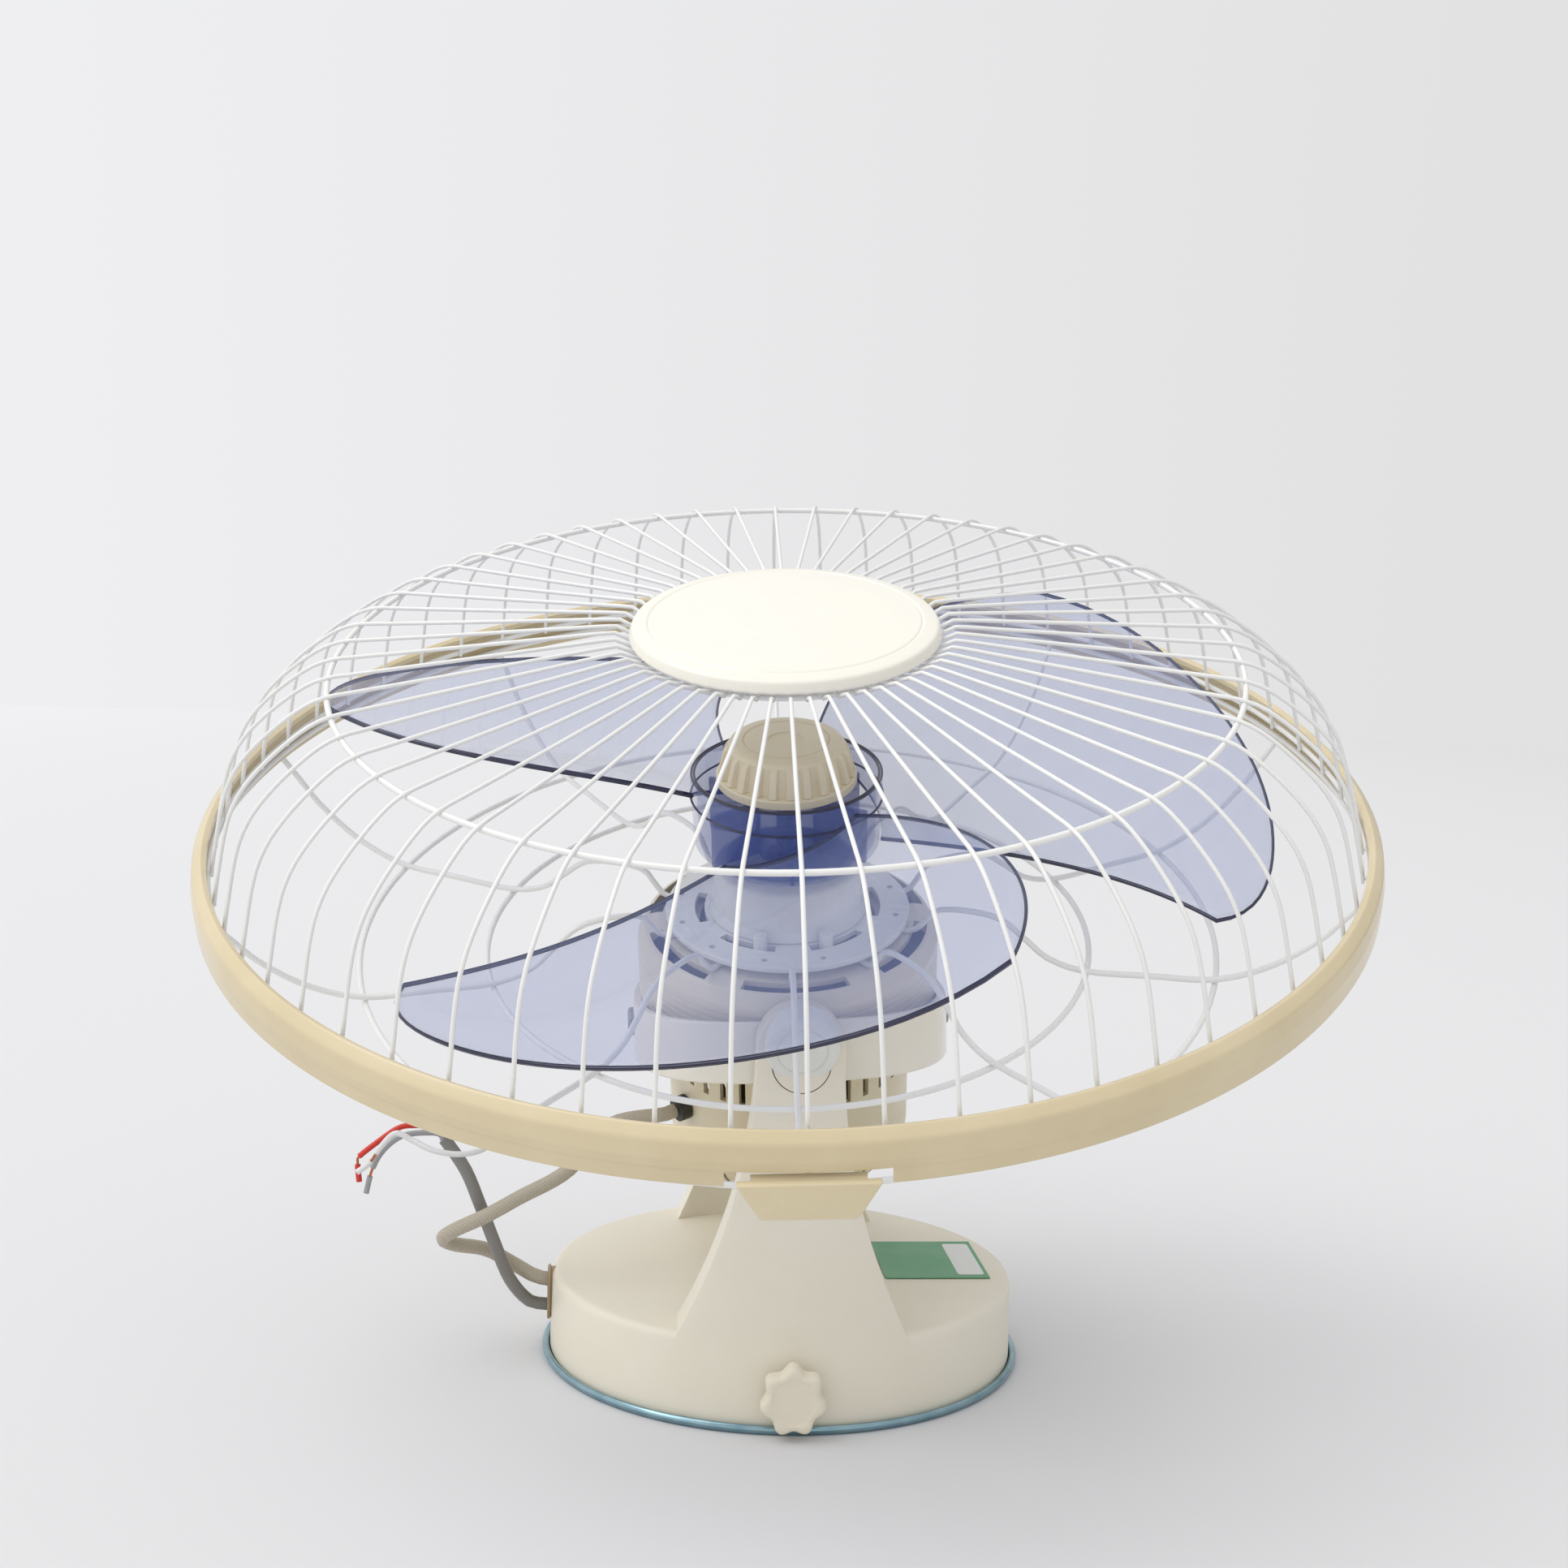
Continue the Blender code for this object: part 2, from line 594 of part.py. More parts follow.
def make_base_fittings():
    """Outlet grommet, stud, terminal block, capacitor and label."""
    rubber = material("grommet_rubber", (0.32, 0.27, 0.22), 0.5)
    steel = material("stud_steel", (0.60, 0.60, 0.58), 0.3, 1.0)
    white = material("block_plastic", (0.83, 0.83, 0.80), 0.5)
    black = material("capacitor_shell", (0.05, 0.05, 0.055), 0.45)
    green = material("label_film", (0.10, 0.27, 0.15), 0.5)

    depth = 0.0060
    grommet = prism("lead_grommet", [stadium()], depth, None, rubber)
    grommet.matrix_world = outlet_frame(COVER_RADIUS - depth / 2 + 0.0014)
    flange = prism("grommet_flange", [stadium(0.0016)], 0.0018, None, None, CUTTERS)
    flange.matrix_world = outlet_frame(COVER_RADIUS + COVER_DRAFT + GAP + 0.0012)
    combine(grommet, flange, "UNION")
    for offset, radius, name in (
        (OUTLET_SPACING, SLEEVE_RADIUS, "sleeve"), (-OUTLET_SPACING, CABLE_RADIUS, "cable")
    ):
        bore = rod(
            f"grommet_bore_{name}", radius + GAP, (0, 0, -0.01), (0, 0, 0.01), None, None, CUTTERS, 16
        )
        bore.matrix_world = outlet_frame(COVER_RADIUS) @ Matrix.Translation((0, offset, 0))
        combine(grommet, bore, "DIFFERENCE")

    top = PIVOT_HEIGHT - math.hypot(CRANK_THROW + CUP_RADIUS, CUP_BOTTOM) - 0.0005
    seat = COVER_TOP + GAP
    stud = [(0.0, top)]
    stud += [(x, top - STUD_BALL + z) for x, z in arc((0, 0), STUD_BALL, 65, -35, 4)]
    neck = top - STUD_BALL - 0.6 * STUD_BALL
    stud += [(0.0030, neck), (0.0030, seat + 0.0012), (0.0090, seat + 0.0010), (0.0090, seat), (0.0, seat)]
    turned("ball_stud", stud, None, steel, 16)

    floor = PLATE_THICKNESS + GAP
    box("terminal_block", (0.030, 0.018, 0.014), (0.024, -0.022, floor + 0.007), None, white)
    box("capacitor", (0.036, 0.018, 0.024), (-0.020, 0.030, floor + 0.012), None, black)
    label = box(
        "cover_label", (*LABEL_SIZE, LABEL_THICKNESS),
        (*LABEL_CENTRE, COVER_TOP + GAP + LABEL_THICKNESS / 2), None, green,
    )
    label.matrix_world = Matrix.Translation(label.location) @ around(LABEL_TURN)


def make_knob():
    cream = material("cream_knob", (0.80, 0.74, 0.61), 0.38)
    front = -(PLATE_RADIUS + GAP)
    outline = []
    for step in range(35):
        angle = 2 * math.pi * step / 35
        radius = KNOB_RADIUS + KNOB_LOBE * math.cos(KNOB_LOBES * (angle + 0.2))
        outline.append((radius * math.cos(angle), radius * math.sin(angle)))
    knob = prism("cover_knob", [outline], KNOB_THICKNESS, None, cream)
    knob.matrix_world = Matrix.Translation((0, front - KNOB_THICKNESS / 2, KNOB_HEIGHT)) @ Matrix.Rotation(
        math.pi / 2, 4, "X"
    )
    bevel(knob, 0.0011, 1)
    wall = -(COVER_RADIUS + COVER_DRAFT + GAP)
    neck = rod(
        "knob_neck", 0.0050, (0, front - 0.001, KNOB_HEIGHT), (0, wall, KNOB_HEIGHT), None, None, CUTTERS
    )
    combine(knob, neck, "UNION")
    shank = rod(
        "knob_shank", KNOB_SCREW_RADIUS, (0, front - 0.001, KNOB_HEIGHT),
        (0, wall + 0.009, KNOB_HEIGHT), None, None, CUTTERS, 16,
    )
    combine(knob, shank, "UNION")


def squared_oval(half_x, half_y, count=36):
    """Superellipse outline."""
    points = []
    for step in range(count):
        angle = 2 * math.pi * step / count
        c, s = math.cos(angle), math.sin(angle)
        power = 2.0 / RING_SQUARENESS
        points.append(
            (math.copysign(abs(c) ** power, c) * half_x, math.copysign(abs(s) ** power, s) * half_y)
        )
    return points


def make_gimbal():
    """Orbit ring and its left and right pins."""
    gloss = material("white_ring", (0.84, 0.82, 0.76), 0.22)
    steel = material("side_pin_steel", (0.62, 0.62, 0.60), 0.3, 1.0)
    outer = squared_oval(RING_HALF_WIDTH, RING_HALF_LENGTH)
    inner = squared_oval(RING_HALF_WIDTH - RING_WALL, RING_HALF_LENGTH - RING_WALL)
    frame = prism("gimbal_ring", [outer, inner], 2 * RING_HALF_HEIGHT, GIMBAL, gloss)
    bevel(frame, RING_BEVEL, 1)
    for axis, reach in (("x", RING_HALF_WIDTH + 0.01), ("y", RING_HALF_LENGTH + 0.01)):
        end = Vector((reach, 0, 0)) if axis == "x" else Vector((0, reach, 0))
        bore = rod(f"ring_bore_{axis}", PIN_RADIUS + RUNNING, -end, end, GIMBAL, None, CUTTERS, 24)
        combine(frame, bore, "DIFFERENCE")
    for side, name in ((-1, "left"), (1, "right")):
        outer_face = RING_HALF_WIDTH + GAP
        pin = [
            (0.0, outer_face + 0.0022),
            (0.0052, outer_face + 0.0022),
            (0.0060, outer_face + 0.0012),
            (0.0060, outer_face),
            (PIN_RADIUS, outer_face),
            (PIN_RADIUS, HOUSING_RADIUS + 0.0016),
            (0.0, HOUSING_RADIUS + 0.0016),
        ]
        pin = turned(f"side_pin_{name}", pin, GIMBAL, steel, 16)
        pin.matrix_basis = Matrix.Rotation(side * math.pi / 2, 4, "Y")


def make_motor_shell():
    """Cream dome of the motor with arc openings round its top."""
    cream = material("cream_motor", (0.80, 0.76, 0.67), 0.34)
    outer, lower, wall = SHELL_RADIUS, SHELL_LOWER_RADIUS, SHELL_WALL
    profile = [
        (SHELL_OPENING, SHELL_TOP),
        (outer - 0.0080, SHELL_TOP),
        (outer - 0.0020, SHELL_TOP - 0.0025),
        (outer, SHELL_TOP - 0.0080),
        (outer, 0.0300),
        (lower, SHELL_BOTTOM),
        (lower - wall, SHELL_BOTTOM),
        (outer - wall, 0.0300),
        (outer - wall, SHELL_TOP - 0.0080),
        (outer - 0.0090, SHELL_TOP - wall),
        (SHELL_OPENING, SHELL_TOP - wall),
    ]
    shell = turned("motor_shell", profile, HEAD, cream, 36, closed=True)
    for index in range(SHELL_SLOT_COUNT):
        middle = 360 * (index + 0.5) / SHELL_SLOT_COUNT
        outline = sector(outer - 0.0100, outer - 0.0045, middle, 44, 5)
        slot = prism(f"shell_slot_{index}", [outline], 0.02, HEAD, None, SHELL_CUTS)
        slot.matrix_basis = Matrix.Translation((0, 0, SHELL_TOP))
    combine(shell, SHELL_CUTS, "DIFFERENCE")


def make_gear_housing():
    """Rear housing: cup with vents under its flange, louvres in its rounded end and two trunnions."""
    cream = material("cream_housing", (0.78, 0.72, 0.58), 0.36)
    radius, wall, bottom = HOUSING_RADIUS, HOUSING_WALL, HOUSING_BOTTOM
    top = SHELL_BOTTOM - GAP
    profile = [
        (0.0, bottom + wall),
        (radius - 0.0206, bottom + wall),
        (radius - 0.0080, bottom + wall + 0.0026),
        (radius - wall, bottom + 0.0170),
        (radius - wall, top),
        (HOUSING_FLANGE, top),
        (HOUSING_FLANGE, top - 0.0030),
        (radius, top - 0.0060),
        (radius, bottom + 0.0165),
        (radius - 0.0035, bottom + 0.0075),
        (radius - 0.0100, bottom + 0.0016),
        (radius - 0.0200, bottom),
        (0.0, bottom),
    ]
    housing = turned("gear_housing", profile, HEAD, cream, 32)
    open_housing(housing)


def open_housing(housing):
    """Trunnions, vents, louvres and the crank's bore."""
    radius = HOUSING_RADIUS
    for side, name in ((-1, "left"), (1, "right")):
        start = (side * (radius - 0.0012), 0, 0)
        end = (side * (RING_HALF_WIDTH - RING_WALL - GAP), 0, 0)
        boss = rod(f"trunnion_{name}", TRUNNION_RADIUS, start, end, HEAD, None, CUTTERS, 32)
        combine(housing, boss, "UNION")
        seat = (side * (radius + 0.0016 - GAP), 0, 0)
        out = (side * (RING_HALF_WIDTH + 0.01), 0, 0)
        bore = rod(f"trunnion_bore_{name}", PIN_RADIUS + RUNNING, seat, out, HEAD, None, CUTTERS, 24)
        combine(housing, bore, "DIFFERENCE")
    height = VENT_HIGH - VENT_LOW
    for index in range(VENT_COUNT):
        angle = 2 * math.pi * (index + 0.5) / VENT_COUNT
        if abs(math.sin(angle)) < 0.27:
            continue
        box(
            f"vent_cut_{index}", (0.012, VENT_WIDTH, height), (radius, 0, (VENT_HIGH + VENT_LOW) / 2),
            HEAD, None, HOUSING_CUTS, angle,
        )
    for index in range(LOUVRE_COUNT):
        angle = 2 * math.pi * (index + 0.5) / LOUVRE_COUNT
        box(
            f"louvre_cut_{index}", (0.0085, LOUVRE_WIDTH, 0.0150),
            (radius - 0.0035, 0, HOUSING_BOTTOM + 0.0100),
            HEAD, None, HOUSING_CUTS, angle,
        )
    combine(housing, HOUSING_CUTS, "DIFFERENCE")
    outlet = rod(
        "crank_bore", SHAFT_RADIUS + RUNNING, (0, 0, HOUSING_BOTTOM - 0.01), (0, 0, HOUSING_BOTTOM + 0.01),
        HEAD, None, CUTTERS, 24,
    )
    combine(housing, outlet, "DIFFERENCE")


def make_front_plate():
    """White plate over the motor with kidney openings, and the bell round the shaft."""
    white = material("white_plate", (0.83, 0.83, 0.82), 0.32)
    low = SHELL_TOP + 3 * GAP + 2 * REAR_WIRE
    high = low + FRONT_PLATE_THICKNESS
    skirt = REAR_INNER_RADIUS - REAR_WIRE - 3 * GAP
    profile = [
        (BUSH_RADIUS * 3, high),
        (FRONT_PLATE_RADIUS - 0.0008, high),
        (FRONT_PLATE_RADIUS, high - 0.0008),
        (FRONT_PLATE_RADIUS, low),
        (skirt, low),
        (skirt, SHELL_TOP + GAP),
        (skirt - 0.0025, SHELL_TOP + GAP),
        (skirt - 0.0025, low),
        (BUSH_RADIUS * 3, low),
    ]
    plate = turned("front_plate", profile, HEAD, white, 32, closed=True)
    for index in range(KIDNEY_COUNT):
        outline = sector(0.0338, 0.0378, 360 * index / KIDNEY_COUNT, 38, 4)
        cut = prism(f"kidney_cut_{index}", [outline], 0.02, HEAD, None, PLATE_CUTS)
        cut.matrix_basis = Matrix.Translation((0, 0, low))
    combine(plate, PLATE_CUTS, "DIFFERENCE")

    foot = high + GAP
    bell = [
        (BUSH_RADIUS + GAP, BELL_TOP),
        (BELL_RADIUS - 0.0070, BELL_TOP - 0.0003),
        (BELL_RADIUS - 0.0020, BELL_TOP - 0.0032),
        (BELL_RADIUS, foot + 0.0022),
        (BELL_RADIUS + 0.0016, foot),
        (BELL_RADIUS - 0.0024, foot),
        (BELL_RADIUS - 0.0052, BELL_TOP - 0.0040),
        (BUSH_RADIUS + GAP, BELL_TOP - 0.0024),
    ]
    turned("front_bell", bell, HEAD, white, 28, closed=True)


def make_motor_inside():
    """Stator, windings, bushes, gear case, rotor core and shaft."""
    lamination = material("lamination_steel", (0.30, 0.30, 0.31), 0.45, 1.0)
    copper = material("winding_copper", (0.55, 0.27, 0.12), 0.35, 1.0)
    bronze = material("bush_bronze", (0.55, 0.40, 0.20), 0.4, 1.0)
    zinc = material("gear_case_zinc", (0.45, 0.45, 0.46), 0.5, 1.0)
    steel = material("shaft_steel", (0.65, 0.65, 0.64), 0.25, 1.0)
    ring("stator", STATOR_BORE, STATOR_OUTER, STATOR_LOW, STATOR_HIGH, HEAD, lamination)
    inner, outer = STATOR_BORE + 0.004, HOUSING_RADIUS - HOUSING_WALL - 0.0015
    ring("winding_front", inner, outer, STATOR_HIGH + GAP, STATOR_HIGH + 0.0046, HEAD, copper)
    ring("winding_rear", inner, outer, STATOR_LOW - 0.0080, STATOR_LOW - GAP, HEAD, copper)
    core = STATOR_BORE - AIR_GAP
    bore = SHAFT_RADIUS + GAP
    ring("rotor_core", bore, core, STATOR_LOW + 0.001, STATOR_HIGH - 0.001, HEAD, lamination)
    running = SHAFT_RADIUS + RUNNING
    ring("bush_front", running, BUSH_RADIUS, BELL_TOP - BUSH_LENGTH, BELL_TOP + 0.0006, HEAD, bronze, 0.0, 16)
    ring(
        "bush_rear", running, BUSH_RADIUS, GEAR_CASE_TOP + GAP, GEAR_CASE_TOP + GAP + BUSH_LENGTH,
        HEAD, bronze, 0.0, 16,
    )
    rod("motor_shaft", SHAFT_RADIUS, (0, 0, SHAFT_BOTTOM), (0, 0, NUT_TOP - 0.0060), HEAD, steel, None, 16)

    floor = HOUSING_BOTTOM + HOUSING_WALL + GAP
    height = GEAR_CASE_TOP - floor
    case = box("gear_case", (*GEAR_CASE, height), (0, 0, floor + height / 2), HEAD, zinc)
    bores = (("top", SHAFT_BOTTOM - GAP, 0.0), ("bottom", HOUSING_BOTTOM, SHAFT_BOTTOM - 0.0085))
    for name, low, high in bores:
        cut = rod(f"case_bore_{name}", running, (0, 0, low), (0, 0, high), HEAD, None, CUTTERS, 16)
        combine(case, cut, "DIFFERENCE")


def ring(name, inner, outer, low, high, parent, mat, edge=0.0, steps=20):
    """A plain or rounded ring about the local Z axis."""
    if edge:
        profile = [(outer - edge, high), (outer, high - edge), (outer, low + edge), (outer - edge, low)]
        profile += [(inner + edge, low), (inner, low + edge), (inner, high - edge), (inner + edge, high)]
    else:
        profile = [(outer, high), (outer, low), (inner, low), (inner, high)]
    return turned(name, profile, parent, mat, steps, closed=True)


def make_crank():
    """Orbit crank on the gear output, with the cup that rides the stud."""
    steel = material("crank_steel", (0.50, 0.50, 0.50), 0.4, 1.0)
    nylon = material("cup_nylon", (0.80, 0.80, 0.78), 0.45)
    down = head_frame().to_3x3().inverted() @ Vector((0, 0, -1))
    direction = math.atan2(down.y, down.x)
    outline = arc((0, 0), 0.0090, 90, 270, 9) + arc((CRANK_THROW, 0), CUP_RADIUS + 0.001, -90, 90, 9)
    crank = prism("crank", [outline], CRANK_THICKNESS, HEAD, steel)
    crank.matrix_basis = Matrix.Translation((0, 0, CRANK_TOP - CRANK_THICKNESS / 2)) @ around(direction)
    shaft = rod(
        "crank_shaft", SHAFT_RADIUS, (0, 0, CRANK_TOP - 0.001), (0, 0, SHAFT_BOTTOM - 0.0095),
        HEAD, None, CUTTERS, 16,
    )
    combine(crank, shaft, "UNION")
    top = CRANK_TOP - CRANK_THICKNESS - GAP
    cup = [
        (0.0, top),
        (CUP_RADIUS, top),
        (CUP_RADIUS, CUP_BOTTOM),
        (0.82 * CUP_RADIUS, CUP_BOTTOM),
        (0.66 * CUP_RADIUS, CUP_BOTTOM + 0.0050),
        (0.0, CUP_BOTTOM + 0.0062),
    ]
    cup = turned("crank_cup", cup, HEAD, nylon, 16)
    cup.matrix_basis = around(direction) @ Matrix.Translation((CRANK_THROW, 0, 0))


def rear_profile():
    """Radius and height of a rear guard wire, butted to the motor's hoop and to the rim's."""
    under_plate = SHELL_TOP + GAP + REAR_WIRE
    over_small = REAR_RING_SMALL[1] + 2 * REAR_WIRE + GAP
    over_large = REAR_RING_LARGE[1] + 2 * REAR_WIRE + GAP
    hump = under_plate + 0.0120
    rise = Vector((GUARD_RADIUS - 0.0210, over_large + 0.0230))
    seat = Vector(REAR_SEAT)
    end = seat + (rise - seat).normalized() * (REAR_WIRE + GAP)
    return [
        (REAR_INNER_RADIUS + REAR_WIRE + GAP, under_plate),
        (FRONT_PLATE_RADIUS + 0.0025, under_plate),
        (FRONT_PLATE_RADIUS + 0.0125, hump),
        (FRONT_PLATE_RADIUS + 0.0380, hump),
        (REAR_RING_SMALL[0] - 0.0150, over_small + 0.0030),
        (REAR_RING_SMALL[0], over_small),
        (REAR_RING_LARGE[0], over_large),
        (REAR_RING_LARGE[0] + 0.0200, over_large + 0.0090),
        (rise.x, rise.y),
        (end.x, end.y),
    ]


def make_rear_guard():
    """Wire guard behind the blades: four hoops, and the wires welded across them."""
    enamel = material("white_enamel", (0.84, 0.85, 0.86), 0.3)
    inner_height = SHELL_TOP + GAP + REAR_WIRE
    hoops = (
        ("inner", REAR_INNER_RADIUS, inner_height, 24),
        ("small", *REAR_RING_SMALL, 32),
        ("large", *REAR_RING_LARGE, 40),
        ("outer", *REAR_SEAT, 40),
    )
    for name, radius, height, count in hoops:
        curve_to_mesh(wire(
            f"rear_hoop_{name}", circle_points(radius, height, count), REAR_WIRE, HEAD, enamel, None, True, 0
        ))
    for index in range(REAR_RADIAL_COUNT):
        angle = GUARD_TURN + 2 * math.pi * index / REAR_RADIAL_COUNT
        points = [(r * math.cos(angle), r * math.sin(angle), z) for r, z in rear_profile()]
        curve_to_mesh(wire(f"rear_wire_{index + 1:02d}", points, REAR_WIRE, HEAD, enamel, None, False, 0))


def spoke_profile():
    """Radius and height of a front guard wire, from under the disc to inside the rim."""
    over_shoulder = SHOULDER_HEIGHT + SHOULDER_WIRE + 0.5 * SPOKE_WIRE
    rim_side = GUARD_RADIUS - RIM_LIP - SPOKE_WIRE - GAP
    return [
        (DISC_RADIUS - 0.0020, INNER_HEIGHT),
        (DISC_RADIUS + 0.0035, INNER_HEIGHT + 0.0045),
        (SHOULDER_RADIUS, over_shoulder),
        (SHOULDER_RADIUS + 0.0265, over_shoulder - 0.0150),
        (rim_side - 0.0078, over_shoulder - 0.0315),
        (rim_side, RIM_TOP - 0.0045),
    ]


def make_front_guard():
    """Wire cage: spokes from the disc over the shoulder ring to the rim."""
    enamel = material("cage_enamel", (0.84, 0.84, 0.85), 0.28)
    guard = wire(
        "front_guard", circle_points(SHOULDER_RADIUS, SHOULDER_HEIGHT, SPOKE_COUNT), SHOULDER_WIRE,
        HEAD, None, None, True, 0,
    )
    guard = curve_to_mesh(guard)
    guard.data.materials.append(enamel)
    for index in range(SPOKE_COUNT):
        angle = GUARD_TURN + 2 * math.pi * index / SPOKE_COUNT
        points = [(r * math.cos(angle), r * math.sin(angle), z) for r, z in spoke_profile()]
        curve_to_mesh(wire(f"cage_spoke_{index}", points, SPOKE_WIRE, HEAD, None, FRONT_WIRES, False, 0))
    combine(guard, FRONT_WIRES, "UNION")


def make_rim_and_disc():
    cream = material("cream_rim", (0.78, 0.68, 0.48), 0.25)
    ivory = material("ivory_disc", (0.93, 0.90, 0.82), 0.3)
    outer, top, low = GUARD_RADIUS, RIM_TOP, RIM_BOTTOM
    inside = outer - RIM_WALL
    profile = [
        (outer - RIM_LIP, top - 0.0010),
        (outer - 0.0045, top),
        (outer - 0.0012, top - 0.0030),
        (outer, top - 0.0090),
        (outer, low),
        (inside, low),
        (inside, top - 0.0080),
        (outer - RIM_LIP, top - 0.0032),
    ]
    rim = turned("guard_ring", profile, HEAD, cream, 60, closed=True)
    notch = box(
        "clasp_notch", (0.02, NOTCH_WIDTH, 2 * (NOTCH_TOP - RIM_BOTTOM)), (GUARD_RADIUS, 0, RIM_BOTTOM),
        HEAD, None, CUTTERS, GUARD_TURN,
    )
    combine(rim, notch, "DIFFERENCE")

    radius, crown = DISC_RADIUS, DISC_TOP
    disc = [
        (0.0, crown),
        (0.50 * radius, crown - 0.0006),
        (0.862 * radius, crown - 0.0019),
        (0.875 * radius, crown - 0.0024),
        (0.888 * radius, crown - 0.0021),
        (radius - 0.0014, crown - 0.0036),
        (radius, crown - 0.0062),
        (radius - 0.0006, crown - 0.0080),
        (radius - 0.0028, crown - 0.0058),
        (0.0, crown - 0.0024),
    ]
    turned("centre_disc", disc, HEAD, ivory, 40)


def make_clasp():
    """Hinged clasp under the rim: plate, knuckle and hook."""
    cream = material("cream_clasp", (0.76, 0.67, 0.48), 0.3)
    half_top, half_low = CLASP_TOP_WIDTH / 2, CLASP_BOTTOM_WIDTH / 2
    corner = 0.0022
    outline = [(-half_top, 0.0), (half_top, 0.0)]
    outline += arc((half_low - corner, -CLASP_HEIGHT + corner), corner, -25, -90, 5)
    outline += arc((-half_low + corner, -CLASP_HEIGHT + corner), corner, -90, -155, 5)
    plate = prism("guard_clasp", [outline], CLASP_THICKNESS, HEAD, cream)
    pivot_radius, pivot_height = CLASP_PIVOT
    face = GUARD_RADIUS + 0.0004 + CLASP_THICKNESS / 2
    upright = Matrix.Rotation(math.pi / 2, 4, "Z") @ Matrix.Rotation(math.pi / 2, 4, "X")
    plate.matrix_basis = around(GUARD_TURN) @ Matrix.Translation((face, 0, pivot_height)) @ upright
    bevel(plate, 0.0006)
    reach = face - pivot_radius
    knuckle = rod(
        "clasp_knuckle", CLASP_KNUCKLE, (pivot_radius, GAP - NOTCH_WIDTH / 2, pivot_height),
        (pivot_radius, NOTCH_WIDTH / 2 - GAP, pivot_height), HEAD, None, CUTTERS, 16,
    )
    knuckle.matrix_basis = around(GUARD_TURN) @ knuckle.matrix_basis
    combine(plate, knuckle, "UNION")
    lug = box(
        "clasp_lug", (reach, 0.8 * CLASP_TOP_WIDTH, 0.0018),
        (pivot_radius + reach / 2, 0, pivot_height - 0.0010), HEAD, None, CUTTERS, GUARD_TURN,
    )
    combine(plate, lug, "UNION")
    hook_low = RIM_BOTTOM - 0.0046
    hook = box(
        "clasp_hook", (0.0090, 0.0200, 0.0020), (face - 0.0045, 0, hook_low), HEAD, None, CUTTERS, GUARD_TURN
    )
    combine(plate, hook, "UNION")


def blade_edges(share):
    """Angles and heights of the two blade edges at a share of the way from root to tip."""
    lead_angle = math.radians(75.0 - 26.0 * share**2.0)
    trail_angle = math.radians(-9.0 - 17.0 * share**1.8)
    lead_height = 0.1080 + 0.0600 * share - 0.0370 * share**2
    trail_height = 0.0870 - 0.0035 * share - 0.0055 * share**6
    return lead_angle, trail_angle, lead_height, trail_height


def blade_reach(across):
    """Tip radius across the chord, from trailing to leading edge."""
    drop = 0.0150 * (1.0 - across) ** 2.0
    corner = 0.0120 * abs(2.0 * across - 1.0) ** 7
    return BLADE_SWEEP - drop - corner


def make_rotor():
    """One moulding of hub cup and swept blades, and the nut that holds it."""
    blue = material("blue_blade", (0.33, 0.42, 0.75), 0.12, 0.0, 0.55)
    sand = material("sand_nut", (0.60, 0.53, 0.42), 0.5)
    outer, wall, top, low = HUB_RADIUS, HUB_WALL, HUB_TOP, HUB_BOTTOM
    profile = [
        (outer - wall, top),
        (outer, top),
        (outer - 0.0010, low + 0.0055),
        (outer - 0.0070, low),
        (SHAFT_RADIUS + GAP, low),
        (SHAFT_RADIUS + GAP, HUB_BOSS_TOP),
        (HUB_BOSS_RADIUS, HUB_BOSS_TOP),
        (HUB_BOSS_RADIUS, low + wall),
        (outer - 0.0076, low + wall),
        (outer - 0.0030, low + 0.0062),
    ]
    rotor = turned("blades", profile, HEAD, blue, 30, closed=True)
    for index in range(HUB_WEB_COUNT):
        length = outer - wall / 2 - HUB_BOSS_RADIUS + 0.001
        box(
            f"hub_web_{index}", (length, 0.0016, HUB_WEB_TOP - low - wall / 2),
            (HUB_BOSS_RADIUS - 0.001 + length / 2, 0, (HUB_WEB_TOP + low + wall / 2) / 2),
            HEAD, None, ROTOR_PARTS, 2 * math.pi * (index + 0.5) / HUB_WEB_COUNT,
        )
    for index in range(BLADE_COUNT):
        blade = make_blade(f"blade_{index}")
        blade.matrix_basis = around(BLADE_PHASE + 2 * math.pi * index / BLADE_COUNT)
    combine(rotor, ROTOR_PARTS, "UNION")

    seat = HUB_BOSS_TOP + GAP
    flange = NUT_FLANGE_RADIUS
    nut = [
        (0.0, NUT_TOP),
        (NUT_TOP_RADIUS - 0.0018, NUT_TOP),
        (NUT_TOP_RADIUS, NUT_TOP - 0.0020),
        (flange - 0.0020, seat + 0.0042),
        (flange, seat + 0.0036),
        (flange, seat + 0.0008),
        (flange - 0.0026, seat),
        (NUT_TOP_RADIUS - 0.0028, NUT_TOP - 0.0034),
        (0.0100, NUT_TOP - 0.0034),
        (0.0100, seat),
        (SHAFT_RADIUS + GAP, seat),
        (SHAFT_RADIUS + GAP, NUT_TOP - 0.0055),
        (0.0, NUT_TOP - 0.0055),
    ]
    nut = turned("spinner_nut", nut, HEAD, sand, 24)
    low_end, high_end = seat + 0.0038, NUT_TOP - 0.0026
    for index in range(NUT_RIB_COUNT):
        rib = rod(
            f"nut_rib_{index}", 0.0014, (flange - 0.0016, 0, low_end), (NUT_TOP_RADIUS - 0.0003, 0, high_end),
            HEAD, None, NUT_RIBS, 5,
        )
        rib.matrix_basis = around(2 * math.pi * index / NUT_RIB_COUNT) @ rib.matrix_basis
    combine(nut, NUT_RIBS, "UNION")


